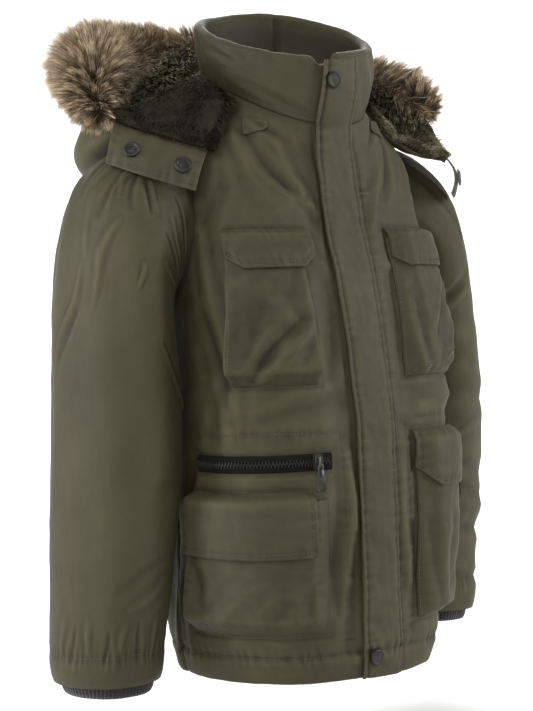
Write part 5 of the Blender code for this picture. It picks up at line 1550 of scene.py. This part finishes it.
def bag_grid(bag, inset):
    """The (u, h, out) of a bag's rows and columns: face, side walls and floor, drawn in."""
    h_top, h_floor = bag["h"]
    hs = np.append(np.linspace(h_top, h_floor + bag["floor_in"] + inset, 8), h_floor + inset)
    inner, outer = bag_edges(bag, (h_top - hs[:, None]) / (h_top - h_floor))
    inner, outer = inner + inset, outer - inset
    face_in, face_out = inner + bag["side_in"], outer - BAG_OUTER_IN
    u = np.hstack((inner, face_in + (face_out - face_in) * np.linspace(0, 1, 8), outer))
    h = hs[:, None] + 0 * u
    out = pocket_depth(bag, u, h) - inset
    out[:, 0] = out[:, -1] = out[-1] = LIE
    fine = np.stack([divided(field, (8, 7)) for field in (u, h, out)], axis=-1)
    return np.moveaxis(ease(fine, 2), -1, 0)


def pocket_bag(name, side, bag, seed):
    """Open-backed bag: a face, two side walls and a floor, its mouth open at the top."""
    u, h, out = bag_grid(bag, 0.0)
    height = np.clip((out - LIE) / 6, 0, 1)
    lift = pocket_relief(u, h, side, seed)
    lift += creases(u, h, [(0, *row) for row in POCKET_CREASES[name]], side)
    surface = BODY.place(side, u, h, out + lift * height)[0]
    across, up = np.minimum(*way_along(surface, 1)), way_along(surface, 0)[1]
    lift += sewing(np.abs(across - BAG_STITCH - bag["side_in"]), h, seed, 0.6)
    lift += sewing(np.abs(up - BAG_STITCH - bag["floor_in"]), u, seed + 1, 0.8)
    surface = BODY.place(side, u, h, out + lift * height)[0]
    under_u, under_h, under_out = bag_grid(bag, THIN)
    under = BODY.place(side, under_u, under_h, under_out + lift * height)[0]
    cloth_piece(name, surface, under, SHADED_SHELL)
    normal = grid_normals(surface, toward=FRONT)
    if bag["thin"]:
        sew_grid(surface, normal, 3.0, "l")
    sew(surface[:-9, -10], normal[:-9, -10])
    sew_grid(surface, normal, bag["floor_in"] + 5.5, "b")


def pocket_flap(name, side, flap, bag, seed):
    """A flap sewn along its top edge, lying over the bag's mouth, its corners cut off."""
    (u0, u1), (h_top, h_low) = flap["u"], flap["h"]
    corner = max(flap["chamfer"], FLAP_EDGE)
    coarse = np.concatenate(([u0, u0 + 0.35 * corner], np.linspace(u0 + corner, u1 - corner, 7),
                             [u1 - 0.35 * corner, u1]))
    u = np.interp(np.linspace(0, 10, 61), np.arange(11), coarse)
    near_end = np.minimum(u - u0, u1 - u)
    cut = np.clip(1 - near_end / max(flap["chamfer"], 1e-6), 0, 1) * 0.8 * flap["chamfer"]
    h = h_top + (h_low + cut - h_top) * np.linspace(0, 1, 27)[:, None]
    u = u + 0 * h
    rise = np.clip((h_top - h) / (h_top - bag["h"][0] - FLAP_LEAD), 0, 1)
    out = LIE + (pocket_depth(bag, u, h) + FLAP_STANDOFF - LIE) * rise ** 0.7
    u, h, out = (ease(field, 2) for field in (u, h, out))
    surface = BODY.place(side, u, h, out + THIN)[0]
    lift = 0.45 * pocket_relief(u, h, side, seed)
    lift += edge_relief(surface, (FLAP_STITCH,), "lrb", 0.8, seed)
    lift += edge_relief(surface, FLAP_TOP_STITCHES, "t", 0.7, seed + 1, 0.0)
    surface, under = (BODY.place(side, u, h, out + lift + wall)[0] for wall in (THIN, 0.0))
    cloth_piece(name, surface, under, SHADED_SHELL)
    normal = grid_normals(surface, toward=FRONT)
    sew_grid(surface, normal, FLAP_STITCH, "lrb", -2.5)
    for inset in FLAP_TOP_STITCHES:
        sew_grid(surface, normal, inset, "t")


def pocket_pieces():
    for number, side in enumerate(SIDES):
        name = SIDE_NAME[side]
        pocket_bag("chest_bag_" + name, side, CHEST_BAG[side], 41 + 2 * number)
        pocket_flap("chest_flap_" + name, side, CHEST_FLAP, CHEST_BAG[side], 45 + number)
        pocket_bag("lower_bag_" + name, side, LOWER_BAG[side], 51 + 2 * number)
        pocket_flap("lower_flap_" + name, side, LOWER_FLAP[side], LOWER_BAG[side], 55 + number)


# Hood, plush and fur ----------------------------------------------------------------------

def strands(name, roots, tips, bends, widths, tint, shade, material, seed):
    """Hairs as tapered ribbons of two steps, from roots by way of a bend to tips."""
    draw = np.random.default_rng(seed)
    count = len(roots)
    along = unit(tips - roots)
    side = unit(np.cross(along, draw.normal(size=(count, 3)))) * widths[:, None] * 0.5
    middle = 0.5 * (roots + tips) + bends
    points = np.stack((roots - side, roots + side, middle - 0.8 * side, middle + 0.8 * side,
                       tips), axis=1)
    mesh = bpy.data.meshes.new(name)
    mesh.vertices.add(5 * count)
    mesh.vertices.foreach_set("co", (points * MM).astype(np.float32).ravel())
    pattern = np.array((0, 1, 3, 2, 2, 3, 4))
    mesh.loops.add(7 * count)
    mesh.loops.foreach_set("vertex_index", (np.arange(count)[:, None] * 5 + pattern).ravel())
    mesh.polygons.add(2 * count)
    starts = np.arange(count)[:, None] * 7 + np.array((0, 4))
    mesh.polygons.foreach_set("loop_start", starts.ravel())
    mesh.update(calc_edges=True)
    return dressed(name, mesh, material, {
        "tip": np.tile((0.0, 0.0, 0.55, 0.55, 1.0), count), "tint": np.repeat(tint, 5),
        "shade": np.repeat(shade, 5)})


def hood_pieces():
    """The hood's shell and its plush; gives the plush's outer grid and normals."""
    rows, columns = 157, 41
    middle = resample(HOOD_MIDDLE, (rows, columns))
    normal = hood_normals(middle)
    for _ in range(3):
        normal = unit(ease(normal, 2))
    half = 0.5 * HOOD_PLY_GAP
    lift = 0.7 * waves(middle, 60, 61) + 0.3 * waves(middle, 24, 62)
    row_way, from_rim = way_along(middle, 0)[0], way_along(middle, 1)[1]
    lift += sewing(np.abs(from_rim - HOOD_RIM_STITCH), row_way, 2.0, 1.6)
    lift += sewing(np.abs(from_rim - 5), row_way, 3.0)
    seam_rows = [round(place * (rows - 1)) for place in HOOD_SEAMS]
    for row in seam_rows:
        off = np.linalg.norm(middle - middle[row], axis=-1)
        lift += sewing(off, from_rim, 4.0, 1.6)
    out = half + HOOD_SHELL_WALL + 0.8 * np.clip(lift + 1.2, -0.8, 2.6)[..., None]
    shell = middle - normal * out
    cloth_piece("hood_shell", shell, middle - normal * half)
    outs = grid_normals(shell, toward=-normal)
    sew_grid(shell, outs, HOOD_RIM_STITCH, "r")
    for row in seam_rows:
        for beside in (-2, 2):
            sew(shell[row + beside, 2:-4], outs[row + beside, 2:-4])
    places = np.linspace(0, 1, rows)[:, None]
    steps = np.interp(np.linspace(0, len(HOOD_STEPS) - 1, columns),
                      np.arange(len(HOOD_STEPS)), HOOD_STEPS)[None, :]
    swell = sum(height * bell(places - place, wide) * bell(steps - step, deep)
                for place, step, wide, deep, height in PLUSH_SWELLS)
    swell = (swell + 1.6 * (1 + waves(middle, 30, 65)))[..., None]
    lining = middle + normal * (half + swell)
    uneven = 0.9 * waves(middle, 34, 63)[..., None]
    made = cloth("hood_plush_backing", lining + normal * (0.55 * HOOD_PLUSH_WALL + uneven),
                 middle + normal * half, PLUSH_CORE)
    piece(made, "hood_lining")
    return lining, unit(0.5 * normal + 0.5 * grid_normals(lining, toward=normal))


def scatter(grid, normals, count, draw):
    """Random places on a grid, even by area, with their normals and the way along its rows."""
    a, b, c = grid[:-1, :-1], grid[:-1, 1:], grid[1:, :-1]
    area = np.linalg.norm(np.cross(b - a, c - a), axis=-1)
    pick = draw.choice(area.size, size=count, p=area.ravel() / area.sum())
    i, j = np.unravel_index(pick, area.shape)
    s, t = draw.random((2, count))[..., None]

    def read(field):
        return ((1 - s) * (1 - t) * field[i, j] + (1 - s) * t * field[i, j + 1]
                + s * (1 - t) * field[i + 1, j] + s * t * field[i + 1, j + 1])
    return read(grid), unit(read(normals)), unit(grid[i, j + 1] - grid[i, j])


def clumped(roots, tips, size, pull, seed):
    """Draws tips together round every so many roots, as pile clings in tufts; gives a random
    number for each tuft too."""
    group = np.unique(np.floor(roots / size).astype(int), axis=0, return_inverse=True)[1].ravel()
    total = np.zeros((group.max() + 1, 3))
    np.add.at(total, group, tips)
    mean = total / np.bincount(group)[:, None]
    tuft = np.random.default_rng(seed).random(group.max() + 1)
    return tips * (1 - pull) + mean[group] * pull, tuft[group]


def swirls(points, length, seed):
    """An uneven vector field: three soft fields side by side."""
    return np.stack([waves(points, length, seed + k) for k in range(3)], -1)


def pile_edges(base, normal):
    """Points along the plush's two front edges, with the way out of the cloth at each."""
    return np.concatenate([np.stack((base[edge], normal[edge], unit(base[edge] - base[beside])), 1)
                           for edge, beside in ((0, 2), (-1, -3))])


def plush_pile(base, normal):
    """Loose pile in two lengths; its colour is painted paler at the back and far side, where light
    falls, and at the top of the near roll, with painted shade in soft patches.
    """
    fringe = pile_edges(base, normal)
    for number, (count, length, width) in enumerate(PLUSH_LAYERS):
        draw = np.random.default_rng(71 + number)
        roots, outs, flow = scatter(base, normal, count, draw)
        few = count // 9
        spot = fringe[draw.integers(0, len(fringe), few)]
        roots[:few] = spot[:, 0] + 1.6 * draw.normal(size=(few, 3))
        outs[:few] = unit(0.9 * spot[:, 1] + 0.6 * spot[:, 2])
        flow[:few] = spot[:, 2]
        long = length * draw.uniform(0.7, 1.15, count)[:, None]
        long *= 1 - 0.25 * np.clip((roots[:, 1:2] - 40) / 60, 0, 1)
        lean = (0.75 * flow + 0.45 * swirls(roots, 40, 80)
                + 0.35 * draw.normal(size=(count, 3)) + np.array((0, 0, -0.35)))
        tips = roots + unit(0.75 * outs + 0.75 * lean) * long
        tips, tuft = clumped(roots, tips, 7.5, 0.38, 95 + number)
        back = np.clip(1.5 * (roots[:, 1] - 40) / 60, 0, 1)
        far = np.clip(1.5 * (roots[:, 0] - 60) / 60, 0, 1)
        deep = np.maximum(back, far)
        near = roots[deep < 0.1, 2]
        high = np.clip((roots[:, 2] - near.min()) / (near.max() - near.min()), 0, 1)
        # Painted light: tint and shade rise at the back and far side, where light falls, and at the
        # top of the near roll; tuft gives a random tone to each tuft.
        tint = draw.random(count) * 0.6 - 0.35 + 0.6 * deep + 0.35 * waves(roots, 26, 88)
        shade = (0.44 + 0.75 * high ** 3 + np.maximum(4.4 * back, 2.7 * far)) * (0.8 + 0.4 * tuft)
        # Painted shade in soft patches, standing in for the pile's hollows.
        shade *= 1 + 0.25 * waves(roots, 20, 77)
        made = strands("plush_pile_%d" % (number + 1), roots, tips, outs * 0.15 * long,
                       width * draw.uniform(0.7, 1.2, count), tint, shade, PLUSH_HAIR,
                       90 + number)
        piece(made, None)


class FurLine:
    """The fur's middle line along the hood's rim, with its radius, seat and directions."""

    def __init__(self, count=241):
        coarse = HOOD_PLACES[(HOOD_PLACES >= FUR_SPAN[0]) & (HOOD_PLACES <= FUR_SPAN[1])]
        line = read_line(np.linspace(*FUR_SPAN, count), coarse,
                         np.column_stack(hood_fur(coarse)))
        self.count, self.centre, self.radius = count, line[:, :3], line[:, 3]
        rim = resample(HOOD_MIDDLE[:, -1:], (601, 1))[:, 0]
        nearest = [np.argmin(np.sum((rim - centre) ** 2, axis=1)) for centre in self.centre]
        self.seat = rim[nearest]
        self.along = unit(np.gradient(self.centre, axis=0))
        self.toward = unit(self.centre - self.seat)
        self.beside = unit(np.cross(self.along, (0, 0, 1.0)))
        self.up = np.cross(self.beside, self.along)
        self.core = self.centre - self.toward * self.radius[:, None] * 0.22

    def spoke(self, pick, angle):
        """Unit vectors out of the line at the picked places."""
        return self.beside[pick] * np.cos(angle) + self.up[pick] * np.sin(angle)


def fur_backing(fur):
    """The dense tube that the long hairs splay out of."""
    turn = (np.arange(28) * 2 * math.pi / 28)[None, :, None]
    spokes = fur.spoke((slice(None), None), turn)
    rings = fur.core[:, None] + 0.50 * fur.radius[:, None, None] * spokes
    rings = rings + spokes * (1.2 * waves(rings, 18, 101))[..., None]
    made = loft("fur_trim_backing", rings, FUR_CORE)
    piece(made, "fur_trim")


def fur_layer(fur, number, count, reach, width, light):
    """One layer of long hairs, combed along the rim and out over the hood's far side."""
    draw = np.random.default_rng(111 + number)
    pick = draw.choice(fur.count, size=count, p=fur.radius / fur.radius.sum())
    centre, along, toward, place = fur.centre[pick], fur.along[pick], fur.toward[pick], pick[:, None]
    step = np.linalg.norm(fur.centre[1] - fur.centre[0])
    slide = draw.uniform(-0.5, 0.5, count)[:, None] * step
    spoke = fur.spoke(pick, draw.uniform(0, 2 * math.pi, count)[:, None])
    size = fur.radius[pick][:, None]
    near_end = np.exp(-place / 20.0)
    spread = 1 - near_end * (1 - np.sqrt(draw.random((count, 1))))
    roots = fur.core[pick] + along * slide + spoke * 0.42 * size * spread
    at_rim = draw.random((count, 1)) < 0.14
    rim_side = fur.seat[pick] + toward + along * slide
    roots = np.where(at_rim, rim_side + 1.5 * draw.normal(size=(count, 3)), roots)
    spoke = np.where(at_rim, unit(spoke - 0.4 * toward), spoke)
    away = np.where(at_rim, 0.0, unit(roots - fur.seat[pick]))
    swept = 0.30 * np.clip((place - 34) / 46, 0, 1) + 0.70 * np.clip((place - 130) / 30, 0, 1)
    inward = np.clip(-np.sum(spoke * toward, axis=1, keepdims=True), 0, 1) * swept
    end_pull = np.exp(-place / 16.0) - np.exp(-(fur.count - 1 - place) / 16.0)
    swirl = swirls(roots, 34, 120)
    heading = (0.90 - 0.35 * swept) * spoke + (0.22 + 0.6 * swept) * away + 0.32 * swirl
    heading = heading + 0.22 * along * np.sin(place / 23.0)
    heading = heading + 0.14 * draw.normal(size=(count, 3)) - 0.9 * along * end_pull
    heading = unit(heading + near_end * np.array((-0.30, -0.10, -0.75)))
    full = np.maximum(size, 12.0) * (1 + 0.70 * np.clip((place - 130) / 60, 0, 1))
    long = full * reach * draw.uniform(0.60, 1.0, count)[:, None] * (1 - 0.5 * inward)
    long = long * np.where(draw.random((count, 1)) < 0.07, 1.22, 1.0)
    tips = roots + heading * long + np.array((0, 0, -0.08)) * long
    tips, tuft = clumped(roots, tips, 4.0 + 1.4 * number, 0.52 + 0.12 * number, 140 + number)
    distance = np.linalg.norm(tips - centre, axis=1, keepdims=True)
    limit = full * (1.12 + 0.42 * draw.random((count, 1)) ** 2 + 0.5 * np.abs(end_pull))
    tips = centre + (tips - centre) * np.minimum(1, limit / distance)
    bends = (fur.up[pick] * 0.05 + 0.05 * swirl) * long
    tint = np.clip(light + 0.38 * draw.normal(size=count), 0, 1)
    shade = (0.56 + 0.72 * tuft) * draw.uniform(0.75, 1.20, count)
    made = strands("fur_hair_%d" % (number + 1), roots, tips, bends,
                   width * draw.uniform(0.7, 1.2, count), tint, shade, FUR_HAIR, 130 + number)
    piece(made, None)


def fur_pile():
    fur = FurLine()
    fur_backing(fur)
    for number, layer in enumerate(FUR_LAYERS):
        fur_layer(fur, number, *layer)


def tab_pieces():
    for side in SIDES:
        name = "hood_tab_" + SIDE_NAME[side]
        outer, inner = (resample(np.array([[hood_tab_point(side, along, down, out)
                                            for along in np.linspace(0, 1, 9)]
                                           for down in (0.0, 0.3, 0.6, 1.0)]), (21, 49))
                        for out in (THIN, 0.0))
        normal = grid_normals(outer, toward=outer - inner)
        lift = edge_relief(outer, (TAB_STITCH,), "lrb", 0.8, 5 + side)
        lift += 0.3 * waves(outer, 26, 140)
        outer = outer + normal * lift[..., None]
        cloth_piece(name, outer, inner)
        sew_grid(outer, normal, TAB_STITCH, "lrb", -2.0)
        for number, along in enumerate(TAB_SNAPS, 1):
            point = hood_tab_point(side, along, 0.55, THIN + 2.5 * SEAM_GAP)
            run = hood_tab_point(side, along + 0.1, 0.55) - hood_tab_point(side, along - 0.1, 0.55)
            fall = hood_tab_point(side, along, 0.7) - hood_tab_point(side, along, 0.4)
            facing = unit(np.cross(run, fall))
            snap_piece("snap_tab_%s_%d" % (SIDE_NAME[side], number), point,
                       facing if facing[0] * side > 0 else -facing, RING_SNAP,
                       METAL if side < 0 else RING_METAL)
        leaf_piece(side)


def leaf_piece(side):
    """A small leaf-shaped tab at the neck seam, round at its free end."""
    t, across = np.meshgrid(np.linspace(0, 1, 17), np.linspace(-1, 1, 13), indexing="ij")
    half = 0.5 * LEAF_TAB_WIDTH * np.sqrt(np.maximum(1 - t * t, 0.01))
    u, h = LEAF_TAB_AT[0] - LEAF_TAB_LENGTH * t, LEAF_TAB_AT[1] + half * across
    roll = 0.5 * np.exp(-(1 - np.abs(across)) * half / 1.5) + 0.5 * np.exp(-(1 - t) * 18)
    outer = BODY.place(side, u, h, LIE + THIN - roll)[0]
    cloth_piece("leaf_tab_" + SIDE_NAME[side], outer, BODY.place(side, u, h, LIE)[0])
    sew_grid(outer, grid_normals(outer, toward=FRONT), 2.4, "lr", -1.0)


# Fasteners --------------------------------------------------------------------------------

def ring_round(centre, right, up, count):
    """Points round a centre; right and up are the ring's two half axes."""
    turn = (np.arange(count) * 2 * math.pi / count)[:, None]
    return centre + right * np.cos(turn) + up * np.sin(turn)


def snap_piece(name, point, normal, profile, material):
    """A press stud turned from its profile."""
    across, along = frame_at(normal)
    rings = [ring_round(point + normal * height * SNAP_HEIGHT, across * radius * SNAP_RADIUS,
                        along * radius * SNAP_RADIUS, 40) for radius, height in profile]
    piece(loft(name + "_stud", np.array(rings), material), name)


def placket_snaps():
    for name, u, h in (("snap_collar", -7.0, 2.0), ("snap_hem", -13.0, -511.0)):
        us, hs = np.array((u, u + 5, u - 5, u, u)), np.array((h, h, h, h + 5, h - 5))
        found = strip_point(us, hs, LIE + PLACKET_WALL + 2 * SEAM_GAP)
        point, right, left, top, low = found
        snap_piece(name, point, unit(np.cross(right - left, top - low)), CAP_SNAP, METAL)


def rounded_plate(outline, thick, bevel):
    """Points and faces of a plate over an outline (across, along), its edges rounded."""
    away = outline - outline.mean(axis=0)
    size = np.linalg.norm(away, axis=1, keepdims=True)
    rings = []
    for inset, height in ((bevel, -0.5 * thick), (0.0, bevel - 0.5 * thick),
                          (0.0, 0.5 * thick - bevel), (bevel, 0.5 * thick)):
        flat = outline - away * inset / size
        rings.append(np.column_stack((flat, np.full(len(outline), height))))
    return np.concatenate(rings), capped(4, len(outline))


def plates(name, rows, material):
    """A mesh of plates; a row gives an outline, thickness, bevel, middle and three ways."""
    points, faces, first = [], [], 0
    for outline, thick, bevel, middle, *ways in rows:
        plate, plate_faces = rounded_plate(outline, thick, bevel)
        points.append(middle + plate @ np.array(ways))
        faces += [tuple(first + v for v in face) for face in plate_faces]
        first += len(plate)
    return new_object(name, np.concatenate(points), faces, material, smooth=False)


def zip_lie(side, u, h):
    """How far the underside of a zip's tape stands off the body."""
    return (LIE if side < 0 else pocket_depth(LOWER_BAG[side], u, h) + LIE) + 0 * u


def zip_teeth(side, band):
    """Plates for the moulded teeth, set up and down in turn."""
    start = band["u"][0] + 4
    for k in range(int((band["u"][1] - start - 3) / TOOTH_PITCH)):
        up = 1 if k % 2 else -1
        spot, height = np.array(start + k * TOOTH_PITCH), np.array(band["h"] + 1.05 * up)
        out = zip_lie(side, spot, height) + ZIP_WALL - 0.1
        ground, normal = BODY.place(side, spot, height, out)
        along, rise = frame_at(normal)
        outline = np.array(TOOTH_OUTLINE) * (1, -up)
        yield outline, 1.5, 0.2, ground + 0.5 * normal, along, rise, normal


def zip_pieces():
    """Tape with moulded teeth on each lower pocket's zip."""
    for side in SIDES:
        band, name = ZIP_BAND[side], "zip_" + SIDE_NAME[side]
        across = np.linspace(0.5, -0.5, 15)[:, None]
        u, h = np.meshgrid(np.linspace(*band["u"], 91), band["h"] + ZIP_WIDTH * across)
        base = zip_lie(side, u, h)
        cord_rise = 0.55 * bell(np.abs(across) - 0.20, 0.05)
        edge = 0.8 * np.exp(-(0.5 - np.abs(across)) * ZIP_WIDTH / 0.8)
        outer = BODY.place(side, u, h, base + ZIP_WALL - 0.5 + cord_rise - edge)[0]
        made = cloth_piece(name, outer, BODY.place(side, u, h, base)[0], TAPE,
                           "tape")
        piece(plates(name + "_teeth", zip_teeth(side, band), TOOTH), None)


def squared(turn, wide, high, power_wide, power_high):
    """An oval of half sizes wide and high, squared off; low powers make it squarer."""
    across, along = np.cos(turn), np.sin(turn)
    return np.column_stack((wide * np.sign(across) * np.abs(across) ** power_wide,
                            high * np.sign(along) * np.abs(along) ** power_high))


def slider_and_pull():
    """The zip's slider in its solid's place: two plates and a bridge, and the pull on it."""
    band, (width, depth, height) = ZIP_BAND[-1], SLIDER_SIZE
    stand = LIE + ZIP_WALL + SEAM_GAP + 0.5 * depth
    normal = BODY.place(-1, band["u"][0] + SLIDER_AT, band["h"], stand)[1]
    point = np.mean(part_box("zip_slider"), axis=0) / MM
    out, up = unit(normal * (1, 1, 0)), np.array((0, 0, 1.0))
    across = np.cross(up, out)
    turn = np.linspace(0, 2 * math.pi, 40, endpoint=False)
    outline = squared(turn, 0.5 * width, 0.5 * height, 0.5, 0.6)
    outline[:, 0] *= 1 - 0.10 * np.sin(turn)
    rows = [(outline, thick, 0.4, point + out * shift * depth, across, up, out)
            for shift, thick in ((-0.30, 1.2), (0.26, 1.4))]
    piece(plates("slider_body", rows, METAL), "zip_slider")
    bridge = []
    for swing in math.pi * np.linspace(0, 1, 15):
        centre = (point + up * (4.6 * math.cos(swing) + 0.2)
                  + out * (0.40 * depth + 0.9 * math.sin(swing) ** 0.5))
        bridge.append(ring_round(centre, across * 1.1, out * 0.55, 10))
    piece(loft("slider_bridge", np.array(bridge), RING_METAL), None)
    pull_piece(across, out, up, point + out * (0.5 * depth + PULL_STANDOFF) - up * PULL_DROP)


def pull_piece(across, out, up, pivot):
    """The pull: a loop at the slider, a plate that widens downward, and an open end."""
    top, end = PULL_STUB, PULL_STUB - PULL_LENGTH
    half_widths = (0.5 * PULL_WIDTH[1], 0.5 * PULL_WIDTH[0])
    ys = np.linspace(top - 5.0, end, 24)
    corner = np.clip((ys - end) / 2.2, 0, 1)
    half = np.interp(ys, (end, top), half_widths) * (0.80 + 0.20 * np.sqrt(1 - (1 - corner) ** 2))
    outer = np.concatenate((np.column_stack((-half, ys)), np.column_stack((half, ys))[::-1]))
    hole_low, hole_top = end + 1.9, end + 7.0
    middle = np.array((0.0, 0.5 * (hole_top + hole_low)))
    hole_half = np.interp(hole_low, (end, top), half_widths) - 2.0
    turn = np.linspace(0, 2 * math.pi, 48, endpoint=False) + math.pi / 2
    hole = middle + squared(turn, hole_half, 0.5 * (hole_top - hole_low), 0.4, 0.4)
    edge = resample_outline(outer, middle, turn)
    rings = []
    for line, inset, height in ((hole, 0.0, -0.3), (hole, 0.3, -0.5), (edge, -0.35, -0.5),
                                (edge, 0.0, -0.25), (edge, 0.0, 0.25), (edge, -0.35, 0.5),
                                (hole, 0.3, 0.5), (hole, 0.0, 0.3)):
        flat = line + unit(line - middle) * inset
        rings.append(pivot + flat @ np.array((across, up)) + out * height * PULL_WALL)
    plate = loft("pull_plate", np.stack(rings, axis=1), PULL_METAL, closed=True)
    piece(plate, "zip_pull", body="zip_pull")
    bars = resample(np.array(PULL_LOOP)[:, None], (41, 1))[:, 0]
    flow = unit(np.gradient(bars, axis=0))
    rings = [ring_round(pivot + across * x + up * (top + y), 0.55 * (across * fy - up * fx),
                        0.55 * out, 10) for (x, y), (fx, fy) in zip(bars, flow)]
    made = loft("pull_loop", np.array(rings), RING_METAL)
    piece(made, None, body="zip_pull")


def resample_outline(outline, centre, turn):
    """Points of an outline in the directions of `turn` from a centre inside it."""
    closed = np.vstack((outline, outline[:1])) - centre
    found = []
    for angle in turn:
        ray = np.array((math.cos(angle), math.sin(angle)))
        best = 0.0
        for a, b in zip(closed[:-1], closed[1:]):
            edge = b - a
            cross = ray[0] * edge[1] - ray[1] * edge[0]
            if abs(cross) < 1e-9:
                continue
            t = (a[0] * edge[1] - a[1] * edge[0]) / cross
            s = (a[0] * ray[1] - a[1] * ray[0]) / cross
            if t > best and -1e-6 <= s <= 1 + 1e-6:
                best = t
        found.append(centre + ray * best)
    return np.array(found)


# Stage, light and camera ------------------------------------------------------------------

def stage_floor():
    """A floor that curves up into a wall behind the garment, square to the camera."""
    floor_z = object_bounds()[0][2] - 0.06
    front, back, top, wide, bend = STAGE_SIZE
    curve = np.linspace(0, 1, 13)[1:] * math.pi / 2
    rows = [(front, 0.0), (back - bend, 0.0)]
    rows += [(back - bend + bend * math.sin(t), bend * (1 - math.cos(t))) for t in curve]
    rows.append((back, top))
    turn = math.radians(CAMERA_TURN)
    points = np.array([(x * math.cos(turn) + y * math.sin(turn),
                        -x * math.sin(turn) + y * math.cos(turn), z + floor_z)
                       for y, z in rows for x in (-wide, wide)])
    faces = [(2 * i, 2 * i + 1, 2 * i + 3, 2 * i + 2) for i in range(len(rows) - 1)]
    made = Shader("studio_floor", Roughness=0.9, Specular_IOR_Level=0.1)
    made.colour(made.ramp(made.noise(3.0, 2.0), (0.3, (0.86, 0.86, 0.855)),
                          (0.7, (0.90, 0.90, 0.895))))
    new_object("studio_floor", points / MM, faces, made.material)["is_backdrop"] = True


def lights():
    world = bpy.data.worlds.new("studio")
    bpy.context.scene.world = world
    world.use_nodes = True
    background = world.node_tree.nodes["Background"]
    background.inputs["Color"].default_value = (1.0, 1.0, 1.0, 1.0)
    background.inputs["Strength"].default_value = SKY_STRENGTH
    for name, place, size, power in LIGHTS:
        lamp = bpy.data.lights.new(name, "AREA")
        lamp.shape = "RECTANGLE"
        lamp.size, lamp.size_y = size
        lamp.energy = power
        light = bpy.data.objects.new(name, lamp)
        light.location = place
        aim = Vector(LIGHT_AIM) - Vector(place)
        light.rotation_euler = aim.to_track_quat("-Z", "Y").to_euler()
        bpy.context.scene.collection.objects.link(light)


def camera():
    turn, rise, roll = (math.radians(v) for v in (CAMERA_TURN, CAMERA_RISE, CAMERA_ROLL))
    back = np.array((-math.sin(turn) * math.cos(rise), -math.cos(turn) * math.cos(rise),
                     math.sin(rise)))
    right = np.array((math.cos(turn), -math.sin(turn), 0.0))
    up = np.cross(back, right)
    aim = np.array((0, 0, CAMERA_AIM[1])) + right * CAMERA_AIM[0]
    lens = bpy.data.cameras.new("camera")
    lens.sensor_width = SENSOR_WIDTH
    lens.lens = CAMERA_FOCUS * SENSOR_WIDTH / FRAME_HIGH
    lens.clip_start, lens.clip_end = 0.05, 50.0
    eye = bpy.data.objects.new("camera", lens)
    place = np.eye(4)
    place[:3, 0] = right * math.cos(roll) - up * math.sin(roll)
    place[:3, 1] = right * math.sin(roll) + up * math.cos(roll)
    place[:3, 2] = back
    place[:3, 3] = (aim + back * CAMERA_DISTANCE) * MM
    eye.matrix_world = Matrix(place.tolist())
    bpy.context.scene.collection.objects.link(eye)
    bpy.context.scene.camera = eye


body_pieces()
sleeve_pieces()
cuff_pieces()
collar_piece()
placket_piece()
pocket_pieces()
plush_pile(*hood_pieces())
fur_pile()
tab_pieces()
placket_snaps()
zip_pieces()
slider_and_pull()
piece(stitch_mesh("topstitching", THREAD), None)
stage_floor()
lights()
camera()
bpy.context.scene.view_settings.view_transform = "Standard"
({"cad": cad_bounds[0:0] + [list(c) for c in cad_bounds],
           "visual": [list(c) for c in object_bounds()]})
